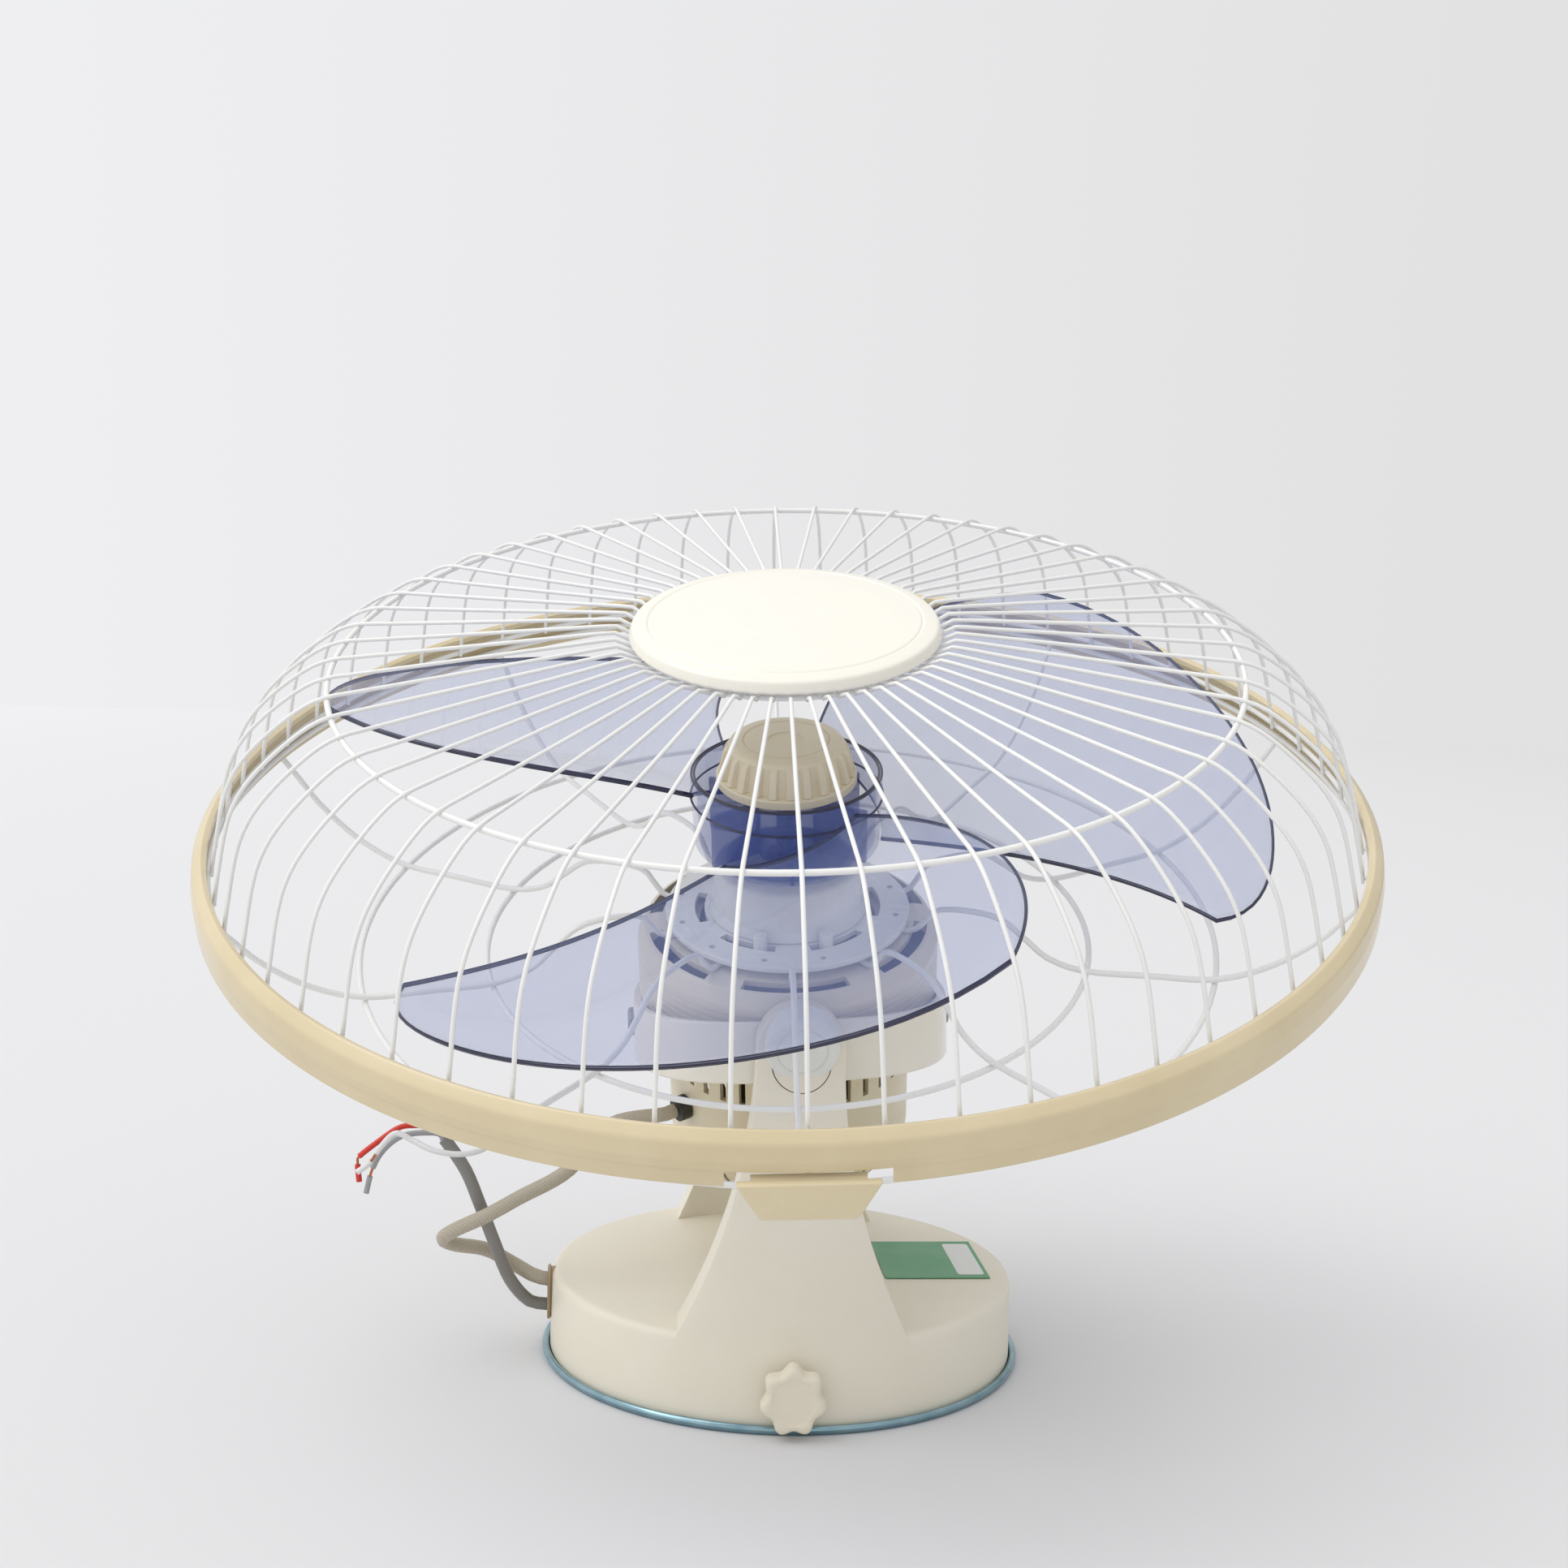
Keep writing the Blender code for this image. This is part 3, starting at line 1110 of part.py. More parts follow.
def make_blade(name):
    """A swept blade as a surface lofted between its edges and given its thickness."""
    spans, chords = 6, 5
    root = HUB_RADIUS - HUB_WALL / 2
    mesh = bpy.data.meshes.new(name)
    bm = bmesh.new()
    grid = []
    for i in range(spans + 1):
        row = []
        for j in range(chords + 1):
            across = j / chords
            share = i / spans
            radius = root + (blade_reach(across) - root) * share
            lead_angle, trail_angle, lead_height, trail_height = blade_edges(
                (radius - root) / (BLADE_SWEEP - root)
            )
            angle = trail_angle + (lead_angle - trail_angle) * across
            height = trail_height + (lead_height - trail_height) * across**1.25
            row.append(bm.verts.new((radius * math.cos(angle), radius * math.sin(angle), height)))
        grid.append(row)
    for lower, upper in zip(grid, grid[1:]):
        for a, b, c, d in zip(lower, upper, upper[1:], lower[1:]):
            bm.faces.new((a, b, c, d))
    bm.to_mesh(mesh)
    bm.free()
    blade = place(bpy.data.objects.new(name, mesh), HEAD, None, ROTOR_PARTS)
    skin = blade.modifiers.new("Thickness", "SOLIDIFY")
    skin.thickness = BLADE_THICKNESS
    skin.offset = 0.0
    return blade


def make_cords():
    """Sleeved motor lead, its gland, the supply cable and its cores."""
    sleeve = material("sleeve_fabric", (0.42, 0.37, 0.30), 0.7)
    grey = material("cable_jacket", (0.22, 0.22, 0.21), 0.5)
    red = material("core_red", (0.75, 0.08, 0.05), 0.4)
    pale = material("core_grey", (0.45, 0.45, 0.44), 0.4)
    white = material("core_white", (0.80, 0.80, 0.78), 0.4)
    black = material("gland_black", (0.10, 0.09, 0.08), 0.5)

    out = Vector((-0.0400, -0.0230, 0.0)).normalized()
    exit_height = -0.0260
    gland_start = out * (HOUSING_RADIUS + GAP) + Vector((0, 0, exit_height))
    gland_end = out * (HOUSING_RADIUS + 0.0050) + Vector((0, 0, exit_height))
    rod("lead_gland", 0.0052, gland_start, gland_end, HEAD, black, None, 20)
    start = head_frame() @ (gland_end + out * 4 * GAP)
    straight = head_frame() @ (gland_end + out * 0.0060)
    hole = outlet_frame(COVER_RADIUS + 0.0036) @ Vector((0, OUTLET_SPACING, 0))
    before = outlet_frame(COVER_RADIUS + 0.0090) @ Vector((0, OUTLET_SPACING, 0.0))
    route = [
        start, straight,
        (-0.0736, -0.0205, 0.0978), (-0.0894, -0.0254, 0.0802), (-0.1086, -0.0300, 0.0700),
        (-0.1214, -0.0315, 0.0629), (-0.1347, -0.0280, 0.0556), (-0.1400, -0.0200, 0.0497),
        (-0.1361, -0.0125, 0.0452), (-0.1233, -0.0065, 0.0430), (-0.1130, -0.0040, 0.0345),
        before, hole,
    ]
    wire("motor_lead", smooth_path(route, 4 * SLEEVE_RADIUS), SLEEVE_RADIUS, None, sleeve, None, False, 2)

    hole = outlet_frame(COVER_RADIUS + 0.0036) @ Vector((0, -OUTLET_SPACING, 0))
    before = outlet_frame(COVER_RADIUS + 0.0080) @ Vector((0, -OUTLET_SPACING, 0.0))
    bend = Vector((-0.1310, -0.0200, 0.0786))
    end = Vector((-0.1401, -0.0200, 0.0911))
    route = [
        hole, before,
        (-0.1126, -0.0135, 0.0318), (-0.1191, -0.0185, 0.0479), (-0.1258, -0.0205, 0.0653), bend, end,
    ]
    wire("supply_cable", smooth_path(route, 4 * CABLE_RADIUS), CABLE_RADIUS, None, grey, None, False, 2)

    heading = (end - bend).normalized()
    face = end + heading * 5 * GAP
    cores = (
        ("core_red", red, (0.0, -0.0002, 0.0013), [
            (-0.1526, -0.0185, 0.0961), (-0.1591, -0.0185, 0.0949), (-0.1672, -0.0190, 0.0892),
            (-0.1742, -0.0195, 0.0835), (-0.1752, -0.0195, 0.0811), (-0.1744, -0.0195, 0.0728)]),
        ("core_grey", pale, (0.0, -0.0012, -0.0009), [
            (-0.1521, -0.0225, 0.0938), (-0.1585, -0.0232, 0.0920), (-0.1649, -0.0235, 0.0862),
            (-0.1687, -0.0238, 0.0788), (-0.1709, -0.0240, 0.0693)]),
        ("core_white", white, (0.0, 0.0014, -0.0005), [
            (-0.1470, -0.0130, 0.0950), (-0.1420, -0.0090, 0.0985), (-0.1300, -0.0110, 0.0985),
            (-0.1215, -0.0200, 0.0935), (-0.1230, -0.0290, 0.0898), (-0.1320, -0.0335, 0.0884),
            (-0.1430, -0.0325, 0.0895), (-0.1520, -0.0285, 0.0925), (-0.1590, -0.0275, 0.0950),
            (-0.1650, -0.0275, 0.0890), (-0.1690, -0.0280, 0.0830), (-0.1740, -0.0285, 0.0790)]),
    )
    for name, mat, shift, route in cores:
        start = face + Vector(shift)
        lead_in = start + heading * 0.004
        path = smooth_path([start, lead_in] + route, 4 * CORE_RADIUS)
        wire(name, path, CORE_RADIUS, None, mat, None, False, 0)


def pivot_empty(name, parent, location, rotation):
    empty = bpy.data.objects.new(name, None)
    PARTS.objects.link(empty)
    empty.parent = parent
    empty.location = location
    empty.rotation_euler = rotation
    return empty


clear_scene()
PARTS = new_collection("orbital_fan")
CUTTERS = new_collection("cutters", helper=True)
SHELL_CUTS = new_collection("shell_cuts", CUTTERS, True)
HOUSING_CUTS = new_collection("housing_cuts", CUTTERS, True)
PLATE_CUTS = new_collection("plate_cuts", CUTTERS, True)
FRONT_WIRES = new_collection("front_wires", CUTTERS, True)
ROTOR_PARTS = new_collection("rotor_parts", CUTTERS, True)
NUT_RIBS = new_collection("nut_ribs", CUTTERS, True)
GIMBAL = pivot_empty("gimbal_axis", None, (0, 0, PIVOT_HEIGHT), (0, HEAD_ROLL, 0))
HEAD = pivot_empty("head_axis", GIMBAL, (0, 0, 0), (HEAD_PITCH, 0, 0))

make_plate()
make_cover()
make_pivots()
make_base_fittings()
make_knob()
make_gimbal()
make_motor_shell()
make_gear_housing()
make_front_plate()
make_motor_inside()
make_crank()
make_rear_guard()
make_front_guard()
make_rim_and_disc()
make_clasp()
make_rotor()
make_cords()
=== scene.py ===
# %% [markdown]
# # An orbital ceiling fan, dressed for the camera
#
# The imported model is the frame: it fixes every size and every moving body. This
# lesson lays the fine surface over it, piece by piece, and gives each piece the
# finish of the real one. Blender works in metres here. Sections are drawn in
# millimetres, as on a workshop drawing, and a helper turns them to metres.

# %% Load the frame
from math import copysign, cos, pi, radians, sin, sqrt, tan, tau

import bmesh
import bpy
from mathutils import Matrix, Vector


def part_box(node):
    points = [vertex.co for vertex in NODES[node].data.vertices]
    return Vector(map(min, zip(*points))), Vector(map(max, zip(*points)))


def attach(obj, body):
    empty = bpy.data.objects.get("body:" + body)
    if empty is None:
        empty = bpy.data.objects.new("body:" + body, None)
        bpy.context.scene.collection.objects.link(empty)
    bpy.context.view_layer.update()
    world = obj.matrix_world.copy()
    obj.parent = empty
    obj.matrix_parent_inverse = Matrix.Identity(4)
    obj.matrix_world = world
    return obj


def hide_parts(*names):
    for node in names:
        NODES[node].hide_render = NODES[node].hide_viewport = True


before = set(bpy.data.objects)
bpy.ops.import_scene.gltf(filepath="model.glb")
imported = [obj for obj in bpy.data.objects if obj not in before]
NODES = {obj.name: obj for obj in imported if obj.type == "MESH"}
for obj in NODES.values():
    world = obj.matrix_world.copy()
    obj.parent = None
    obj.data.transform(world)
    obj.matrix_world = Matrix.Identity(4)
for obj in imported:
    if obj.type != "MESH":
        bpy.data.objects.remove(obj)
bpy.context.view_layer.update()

# %% [markdown]
# ## The camera
#
# The photographer stood close, so the near rim of the guard looks larger than the
# far one. The place and the lens come from fitting the outlines of the plate, the
# cover and the guard's rings. A camera looks along its own minus Z, so its matrix
# has the right, up and backward directions as columns.

# %% Camera
MM = 0.001


def linked(name, data):
    """A new object in the scene from its mesh, curve, camera or light."""
    obj = bpy.data.objects.new(name, data)
    bpy.context.scene.collection.objects.link(obj)
    return obj


camera_data = bpy.data.cameras.new("photo_camera")
camera_data.sensor_width = 36.0
camera_data.lens = 46.21
camera_data.clip_start = 0.01
camera = linked("photo_camera", camera_data)
right = Vector((0.99834, -0.05028, 0.02797)).normalized()
forward = Vector((0.05220, 0.99598, -0.07273)).normalized()
up = right.cross(forward)
stand = Vector((-48.23, -833.89, 298.99)) * MM
facing = Matrix((right, up, -forward)).transposed().to_4x4()
camera.matrix_world = Matrix.Translation(stand) @ facing
bpy.context.scene.camera = camera
print(f"camera {stand.length:.2f} m from the base, lens {camera_data.lens} mm")

# %% [markdown]
# ## Driving sizes
#
# These repeat the sizes of the source of the model. The head is drawn upright about
# the orbit pivot and then leans with one matrix, as the real head leans in its
# gimbal.

# %% Driving sizes
PIVOT = 140.8 * MM
HEAD_PITCH = radians(22.0)
HEAD_ROLL = radians(-3.2)
COVER_RADIUS = 96.2 * MM
COVER_TOP = 34.3 * MM
GUARD_TURN = radians(-91.7)

gimbal_frame = Matrix.Translation((0, 0, PIVOT)) @ Matrix.Rotation(HEAD_ROLL, 4, "Y")
head_frame = gimbal_frame @ Matrix.Rotation(HEAD_PITCH, 4, "X")
print("head axis", [round(v, 3) for v in head_frame.to_3x3() @ Vector((0, 0, 1))])

# %% [markdown]
# ## Small tools for the bench
#
# Most of the pieces are turned or moulded round an axis. A turned piece starts from
# a drawn section, whose corners get a fillet, because light on a small radius is
# what makes plastic look moulded.

# %% Tools: sections and meshes
def mm(*points):
    """Points drawn in millimetres, in metres; a third number is a radius."""
    return [tuple(value * MM for value in point) for point in points]


def smoothed(obj, sharp):
    """The object, shaded smooth except over edges sharper than an angle."""
    obj.data.shade_smooth()
    obj.data.set_sharp_from_angle(angle=radians(sharp))
    return obj


def new_piece(name, mesh, place=None, sharp=32.0):
    """An object from a mesh that is set in its place."""
    mesh.transform(place or Matrix.Identity(4))
    return smoothed(linked(name, mesh), sharp)


def mesh_of(bm, name):
    """The mesh of a bmesh, which is freed."""
    mesh = bpy.data.meshes.new(name)
    bm.to_mesh(mesh)
    bm.free()
    return mesh


def skin_of(bm, name):
    """The same for a closed skin, with its normals turned outwards."""
    bmesh.ops.recalc_face_normals(bm, faces=bm.faces)
    return mesh_of(bm, name)


def filleted(section, steps=4):
    """Points (r, z) or (r, z, radius): each corner with a radius becomes an arc."""
    points = []
    count = len(section)
    for index, corner in enumerate(section):
        here = Vector(corner[:2])
        radius = corner[2] if len(corner) > 2 else 0.0
        if radius == 0.0:
            points.append(here)
            continue
        before = Vector(section[(index - 1) % count][:2]) - here
        after = Vector(section[(index + 1) % count][:2]) - here
        half = before.angle(after) / 2
        reach = min(radius / tan(half), 0.49 * before.length, 0.49 * after.length)
        start = here + before.normalized() * reach
        end = here + after.normalized() * reach
        for step in range(steps + 1):
            t = step / steps
            points.append(start.lerp(here, t).lerp(here.lerp(end, t), t))
    return points


def turned(name, section, place, segments=160, steps=4, sharp=32.0):
    """A section turned about the local Z axis; one that starts on the axis stays open."""
    bm = bmesh.new()
    ring = [bm.verts.new((p.x, 0.0, p.y)) for p in filleted(section, steps)]
    edges = [bm.edges.new(pair) for pair in zip(ring, ring[1:])]
    if section[0][0] > 0.0:
        edges.append(bm.edges.new((ring[-1], ring[0])))
    bmesh.ops.spin(
        bm, geom=ring + edges, cent=(0, 0, 0), axis=(0, 0, 1), angle=tau,
        steps=segments, use_merge=True,
    )
    bmesh.ops.remove_doubles(bm, verts=bm.verts, dist=1e-6)
    return new_piece(name, skin_of(bm, name), place, sharp)


def band(bm, first, second, closed=True):
    """Quads between two rows of vertices."""
    for i in range(len(first) if closed else len(first) - 1):
        j = (i + 1) % len(first)
        bm.faces.new((first[i], first[j], second[j], second[i]))


def prisms(name, outlines, low, high, place=None):
    """One mesh of upright prisms, each from an outline in the local XY plane."""
    bm = bmesh.new()
    for outline in outlines:
        bottom = [bm.verts.new((x, y, low)) for x, y in outline]
        top = [bm.verts.new((x, y, high)) for x, y in outline]
        bm.faces.new(bottom[::-1])
        bm.faces.new(top)
        band(bm, bottom, top)
    return new_piece(name, skin_of(bm, name), place)


def report(obj):
    """Print a piece's size and its number of faces."""
    size = [round(v / MM, 1) for v in obj.dimensions]
    print(obj.name, size, "mm,", len(obj.data.polygons), "faces")


print("bench ready")

# %% [markdown]
# A cut, a joint or a rounded edge is a modifier on the real bench too: it is set up,
# applied at once, and the tool is cleared away. That leaves plain meshes, which can
# be measured.

# %% Tools: cutting, joining and rounding
def settled(obj):
    """The object with its modifiers applied to its mesh."""
    bpy.context.view_layer.update()
    graph = bpy.context.evaluated_depsgraph_get()
    mesh = bpy.data.meshes.new_from_object(
        obj.evaluated_get(graph), preserve_all_data_layers=True, depsgraph=graph
    )
    obj.modifiers.clear()
    obj.data = mesh
    return obj


def worked(obj, tool, operation="DIFFERENCE", sharp=32.0):
    """Cut the tool from the object, or join it on, and clear the tool away."""
    change = obj.modifiers.new("work", "BOOLEAN")
    change.operation = operation
    change.solver = "EXACT"
    change.object = tool
    settled(obj)
    bpy.data.objects.remove(tool, do_unlink=True)
    return smoothed(obj, sharp)


def edged(obj, width, segments=3):
    """Rounded edges, applied."""
    bevel = obj.modifiers.new("edges", "BEVEL")
    bevel.width = width
    bevel.segments = segments
    bevel.limit_method = "ANGLE"
    bevel.angle_limit = radians(35.0)
    return smoothed(settled(obj), 40.0)


print("cutting tools ready")

# %% [markdown]
# Slots, holes and vents repeat round an axis, so each has a small helper that gives
# its flat outline at a turn.

# %% Tools: outlines
def arc(centre, radius, start, end, count):
    """Points of a flat arc, degrees."""
    angles = [radians(start + (end - start) * i / (count - 1)) for i in range(count)]
    return [(centre[0] + radius * cos(a), centre[1] + radius * sin(a)) for a in angles]


def sector(inner, outer, middle, span, count):
    """Outline of a piece of a ring, degrees."""
    low, high = middle - span / 2, middle + span / 2
    return arc((0, 0), outer, low, high, count) + arc((0, 0), inner, high, low, count)


def around(angle):
    """A turn about the local Z axis."""
    return Matrix.Rotation(angle, 4, "Z")


def half_steps(count):
    """Angles of even steps round a circle, starting half a step round."""
    return [tau * (i + 0.5) / count for i in range(count)]


def rectangle(left, right, low, high):
    """An outline from its limits in millimetres."""
    return mm((left, low), (right, low), (right, high), (left, high))


def bar(turn, inner, outer, half):
    """Outline of a straight bar along a spoke, drawn in millimetres."""
    corners = rectangle(inner, outer, -half, half)
    return [(around(turn) @ Vector((x, y, 0))).to_2d() for x, y in corners]


def rod(radius, reach, place, segments):
    """A round bar about the local Z axis, as a tool for bores."""
    section = [(0.0, reach), (radius, reach), (radius, -reach), (0.0, -reach)]
    return turned("bore_tool", section, place, segments)


print("outlines ready")

# %% [markdown]
# Wires and cords are curves: a centre line with a round bevel. The centre line is
# read from a smooth curve through a few given points, at even steps.

# %% Tools: wires
def flowing(points, spacing, fine_steps=24):
    """Points at even steps along a smooth curve through the given ones."""
    ends = [points[0], *points, points[-1]]
    fine = []
    for knots in zip(ends, ends[1:], ends[2:], ends[3:]):
        a, b, c, d = (Vector(knot) for knot in knots)
        for step in range(fine_steps):
            t = step / fine_steps
            square = (a * 2 - b * 5 + c * 4 - d) * t * t
            cube = (b * 3 - a - c * 3 + d) * t**3
            fine.append(((b * 2) + (c - a) * t + square + cube) / 2)
    fine.append(Vector(points[-1]))
    lengths = [0.0]
    for p, q in zip(fine, fine[1:]):
        lengths.append(lengths[-1] + (q - p).length)
    count = max(2, round(lengths[-1] / spacing))
    path = []
    index = 0
    for step in range(count + 1):
        target = lengths[-1] * step / count
        while index < len(fine) - 2 and lengths[index + 1] < target:
            index += 1
        share = (target - lengths[index]) / max(lengths[index + 1] - lengths[index], 1e-9)
        path.append(fine[index].lerp(fine[index + 1], min(share, 1.0)))
    return path


def run_length(path):
    """The length of a run of straight steps."""
    return sum((q - p).length for p, q in zip(path, path[1:]))


def wires(name, runs, radius, place=None, sides=2, closed=()):
    """Round wires: open runs and closed hoops in one curve object."""
    curve = bpy.data.curves.new(name, "CURVE")
    curve.dimensions = "3D"
    curve.bevel_depth = radius
    curve.bevel_resolution = sides
    curve.use_fill_caps = True
    frame_of = place or Matrix.Identity(4)
    for points, cyclic in [(run, False) for run in runs] + [(hoop, True) for hoop in closed]:
        spline = curve.splines.new("POLY")
        spline.points.add(len(points) - 1)
        for point, position in zip(spline.points, points):
            point.co = (*(frame_of @ Vector(position)), 1.0)
        spline.use_cyclic_u = cyclic
        spline.use_smooth = True
    return linked(name, curve)


def hoop(radius, height, count=180):
    """Points of a level circle."""
    turns = (tau * i / count for i in range(count))
    return [(radius * cos(a), radius * sin(a), height) for a in turns]


def standing(profile, turn):
    """A profile (r, z) stood upright at a turn about the axis."""
    return [(r * cos(turn), r * sin(turn), z) for r, z in profile]


print("wire tools ready")

# %% [markdown]
# ## The cords
#
# Two leads leave the oval grommet in the cover's side. The supply cable rises and
# ends in three stripped cores, as the installer finds it. The sleeved motor lead
# goes back up to the gearbox: it passes in front of the cable, turns tightly at its
# far left and comes back behind it. The cords come first, because everything else
# has to keep clear of them.

# %% Cord routes
OUTLET_ANGLE = radians(183.0)
OUTLET_HEIGHT = 23.2 * MM
OUTLET_SPACING = 5.4 * MM
SLEEVE = 6.0 * MM
CABLE = 5.3 * MM
CORD_STEP = 4 * MM

outward = Vector((cos(OUTLET_ANGLE), sin(OUTLET_ANGLE), 0))


def outlet(distance, rise):
    """A point in front of the grommet."""
    return outward * (COVER_RADIUS + distance) + Vector((0, 0, OUTLET_HEIGHT + rise))


gland_out = Vector((-0.0400, -0.0230, 0.0)).normalized()
gland_foot = gland_out * (50.6 * MM) + Vector((0, 0, -26.0 * MM))
lead_start = head_frame @ (gland_foot + gland_out * 5.9 * MM)
lead_route = flowing([
    lead_start, head_frame @ (gland_foot + gland_out * 10.7 * MM),
    (-0.0736, -0.0205, 0.0978), (-0.0894, -0.0254, 0.0802), (-0.1086, -0.0300, 0.0700),
    (-0.1214, -0.0315, 0.0629), (-0.1347, -0.0280, 0.0556), (-0.1400, -0.0200, 0.0497),
    (-0.1361, -0.0125, 0.0450), (-0.1240, -0.0070, 0.0415), (-0.1130, -0.0045, 0.0350),
    outlet(8.0 * MM, OUTLET_SPACING + 1.6 * MM), outlet(2.0 * MM, OUTLET_SPACING),
    outlet(-3.0 * MM, OUTLET_SPACING - 0.4 * MM),
], CORD_STEP)
cable_end = Vector((-0.1401, -0.0200, 0.0911))
cable_route = flowing([
    outlet(-2.0 * MM, -OUTLET_SPACING), outlet(4.2 * MM, 0.2 * MM - OUTLET_SPACING),
    (-0.1060, -0.0075, 0.0204), (-0.1133, -0.0138, 0.0315), (-0.1194, -0.0180, 0.0480),
    (-0.1254, -0.0203, 0.0645), (-0.1314, -0.0203, 0.0786), cable_end,
], CORD_STEP)
motor_sleeve = wires("motor_sleeve", [lead_route], SLEEVE / 2, sides=4)
supply_jacket = wires("supply_jacket", [cable_route], CABLE / 2, sides=4)
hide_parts("motor_lead")
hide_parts("supply_cable")
print(f"motor lead {run_length(lead_route):.3f} m, supply cable {run_length(cable_route):.3f} m")

# %% [markdown]
# Each core is PVC insulation over stranded copper. Near its end the insulation is
# cut and slid along, as an installer leaves it, so a cuff stays on the tip and bare
# copper shows in the gap.

# %% Cores of the supply cable
CORE = 2.4 * MM
CORE_STEP = 1.2 * MM
COPPER_RADIUS = 0.55 * MM
BARE_FROM, BARE_TO = 10.5 * MM, 8.0 * MM
heading = (cable_end - cable_route[-3]).normalized()
core_face = cable_end + heading * 0.2 * MM
CORE_ROUTES = {
    "red": ((0.0, -0.0002, 0.0013), [
        (-0.1526, -0.0185, 0.0961), (-0.1591, -0.0185, 0.0949), (-0.1672, -0.0190, 0.0892),
        (-0.1742, -0.0195, 0.0835), (-0.1752, -0.0195, 0.0811), (-0.1744, -0.0195, 0.0728)]),
    "grey": ((0.0, -0.0012, -0.0009), [
        (-0.1521, -0.0225, 0.0938), (-0.1585, -0.0232, 0.0920), (-0.1649, -0.0235, 0.0862),
        (-0.1687, -0.0238, 0.0788), (-0.1709, -0.0240, 0.0693)]),
    "white": ((0.0, 0.0014, -0.0005), [
        (-0.1470, -0.0130, 0.0950), (-0.1420, -0.0090, 0.0985), (-0.1300, -0.0110, 0.0985),
        (-0.1215, -0.0200, 0.0935), (-0.1230, -0.0290, 0.0898), (-0.1320, -0.0335, 0.0884),
        (-0.1430, -0.0325, 0.0895), (-0.1520, -0.0285, 0.0925), (-0.1590, -0.0275, 0.0950),
        (-0.1650, -0.0275, 0.0890), (-0.1690, -0.0280, 0.0830), (-0.1740, -0.0285, 0.0790)]),
}
cores = {}
strands = {}
for colour, (shift, route) in CORE_ROUTES.items():
    start = core_face + Vector(shift)
    path = flowing([start, start + heading * 4 * MM, *route], CORE_STEP)
    total = run_length(path)
    reached = [run_length(path[: i + 1]) for i in range(len(path))]
    sleeve_end = [p for p, run in zip(path, reached) if run < total - BARE_FROM]
    cuff = [p for p, run in zip(path, reached) if run > total - BARE_TO]
    cores[colour] = wires(f"core_{colour}_insulation", [sleeve_end, cuff], CORE / 2, sides=3)
    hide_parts(f"core_{colour}")
    copper_run = path[len(sleeve_end) - 2 : len(path) - len(cuff) + 2]
    strands[colour] = wires(f"core_{colour}_copper", [copper_run], COPPER_RADIUS, sides=2)
    print(f"core {colour} {total:.3f} m")

# %% [markdown]
# ## Ceiling plate, cover and yoke
#
# The plate is pressed zinc plated steel with a rolled bead round its edge, and three
# keyholes let it hang on screws. Each keyhole is a wide arc for the screw's head and
# a narrow one for its shank.

# %% Ceiling plate
PLATE_MM = 100.0
KEYHOLE_CIRCLE = 62 * MM
plate = turned("zinc_plate", mm(
    (0, 1.6), (96.6, 1.6, 0.6), (97.4, 3.1, 0.8), (99.0, 3.4, 0.8), (PLATE_MM, 1.9, 0.8),
    (99.0, 0.1, 0.5), (97.6, 0), (0, 0),
), None, 200)
keyhole = arc((0, 0), 4.5 * MM, 30, 330, 17) + arc((12 * MM, 0), 2.2 * MM, -80, 80, 9)
keyholes = []
for degrees in (30, 150, 270):
    seat = around(radians(degrees)) @ Matrix.Translation((KEYHOLE_CIRCLE, 0, 0))
    seat = seat @ around(pi / 2)
    keyholes.append([(seat @ Vector((x, y, 0))).to_2d() for x, y in keyhole])
worked(plate, prisms("keyhole_tool", keyholes, -2 * MM, 4 * MM))
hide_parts("mount_plate")
report(plate)

# %% [markdown]
# The cover is moulded plastic. Its two arms rise out of its side wall with no joint
# line, so they follow the same cylinder: each arm is built as rows across that
# cylinder, under a round crown, and joined to the cover with a boolean.

# %% Cover and arms
ARM_INNER = 77.5 * MM
ARM_FOOT = 43.7 * MM
ARM_HEAD = 16.6 * MM
ARM_ROOT = 28.0 * MM
CROWN_HEIGHT = 145.5 * MM
ARM_TAPER = 1.9
ARM_ROWS, CROWN_ROWS, ARM_COLUMNS = 40, 14, 20


def arm_width(height):
    """Half the arm's width at a height."""
    rise = max(PIVOT - height, 0.0) / (PIVOT - COVER_TOP)
    return ARM_HEAD + (ARM_FOOT - ARM_HEAD) * rise**ARM_TAPER


def arm(side):
    """One arm as a closed grid between two cylinders; side is -1 in front."""
    heights = [ARM_ROOT + (CROWN_HEIGHT - ARM_ROOT) * i / ARM_ROWS for i in range(ARM_ROWS + 1)]
    rows = [(arm_width(z), z) for z in heights]
    for i in range(1, CROWN_ROWS):
        a = radians(90.0 * i / CROWN_ROWS)
        rows.append((ARM_HEAD * cos(a), CROWN_HEIGHT + ARM_HEAD * sin(a)))
    bm = bmesh.new()
    skins = []
    for radius in (COVER_RADIUS, ARM_INNER):
        grid = []
        for half, z in rows:
            xs = [half * (2 * j / ARM_COLUMNS - 1) for j in range(ARM_COLUMNS + 1)]
            grid.append([bm.verts.new((x, side * sqrt(radius**2 - x**2), z)) for x in xs])
        for lower, upper in zip(grid, grid[1:]):
            band(bm, lower, upper, closed=False)
        skins.append(grid)
    outer, inner = skins
    for end in (0, -1):
        band(bm, [row[end] for row in outer], [row[end] for row in inner], closed=False)
        band(bm, outer[end], inner[end], closed=False)
    return edged(new_piece("arm_tool", skin_of(bm, "arm")), 1.3 * MM)


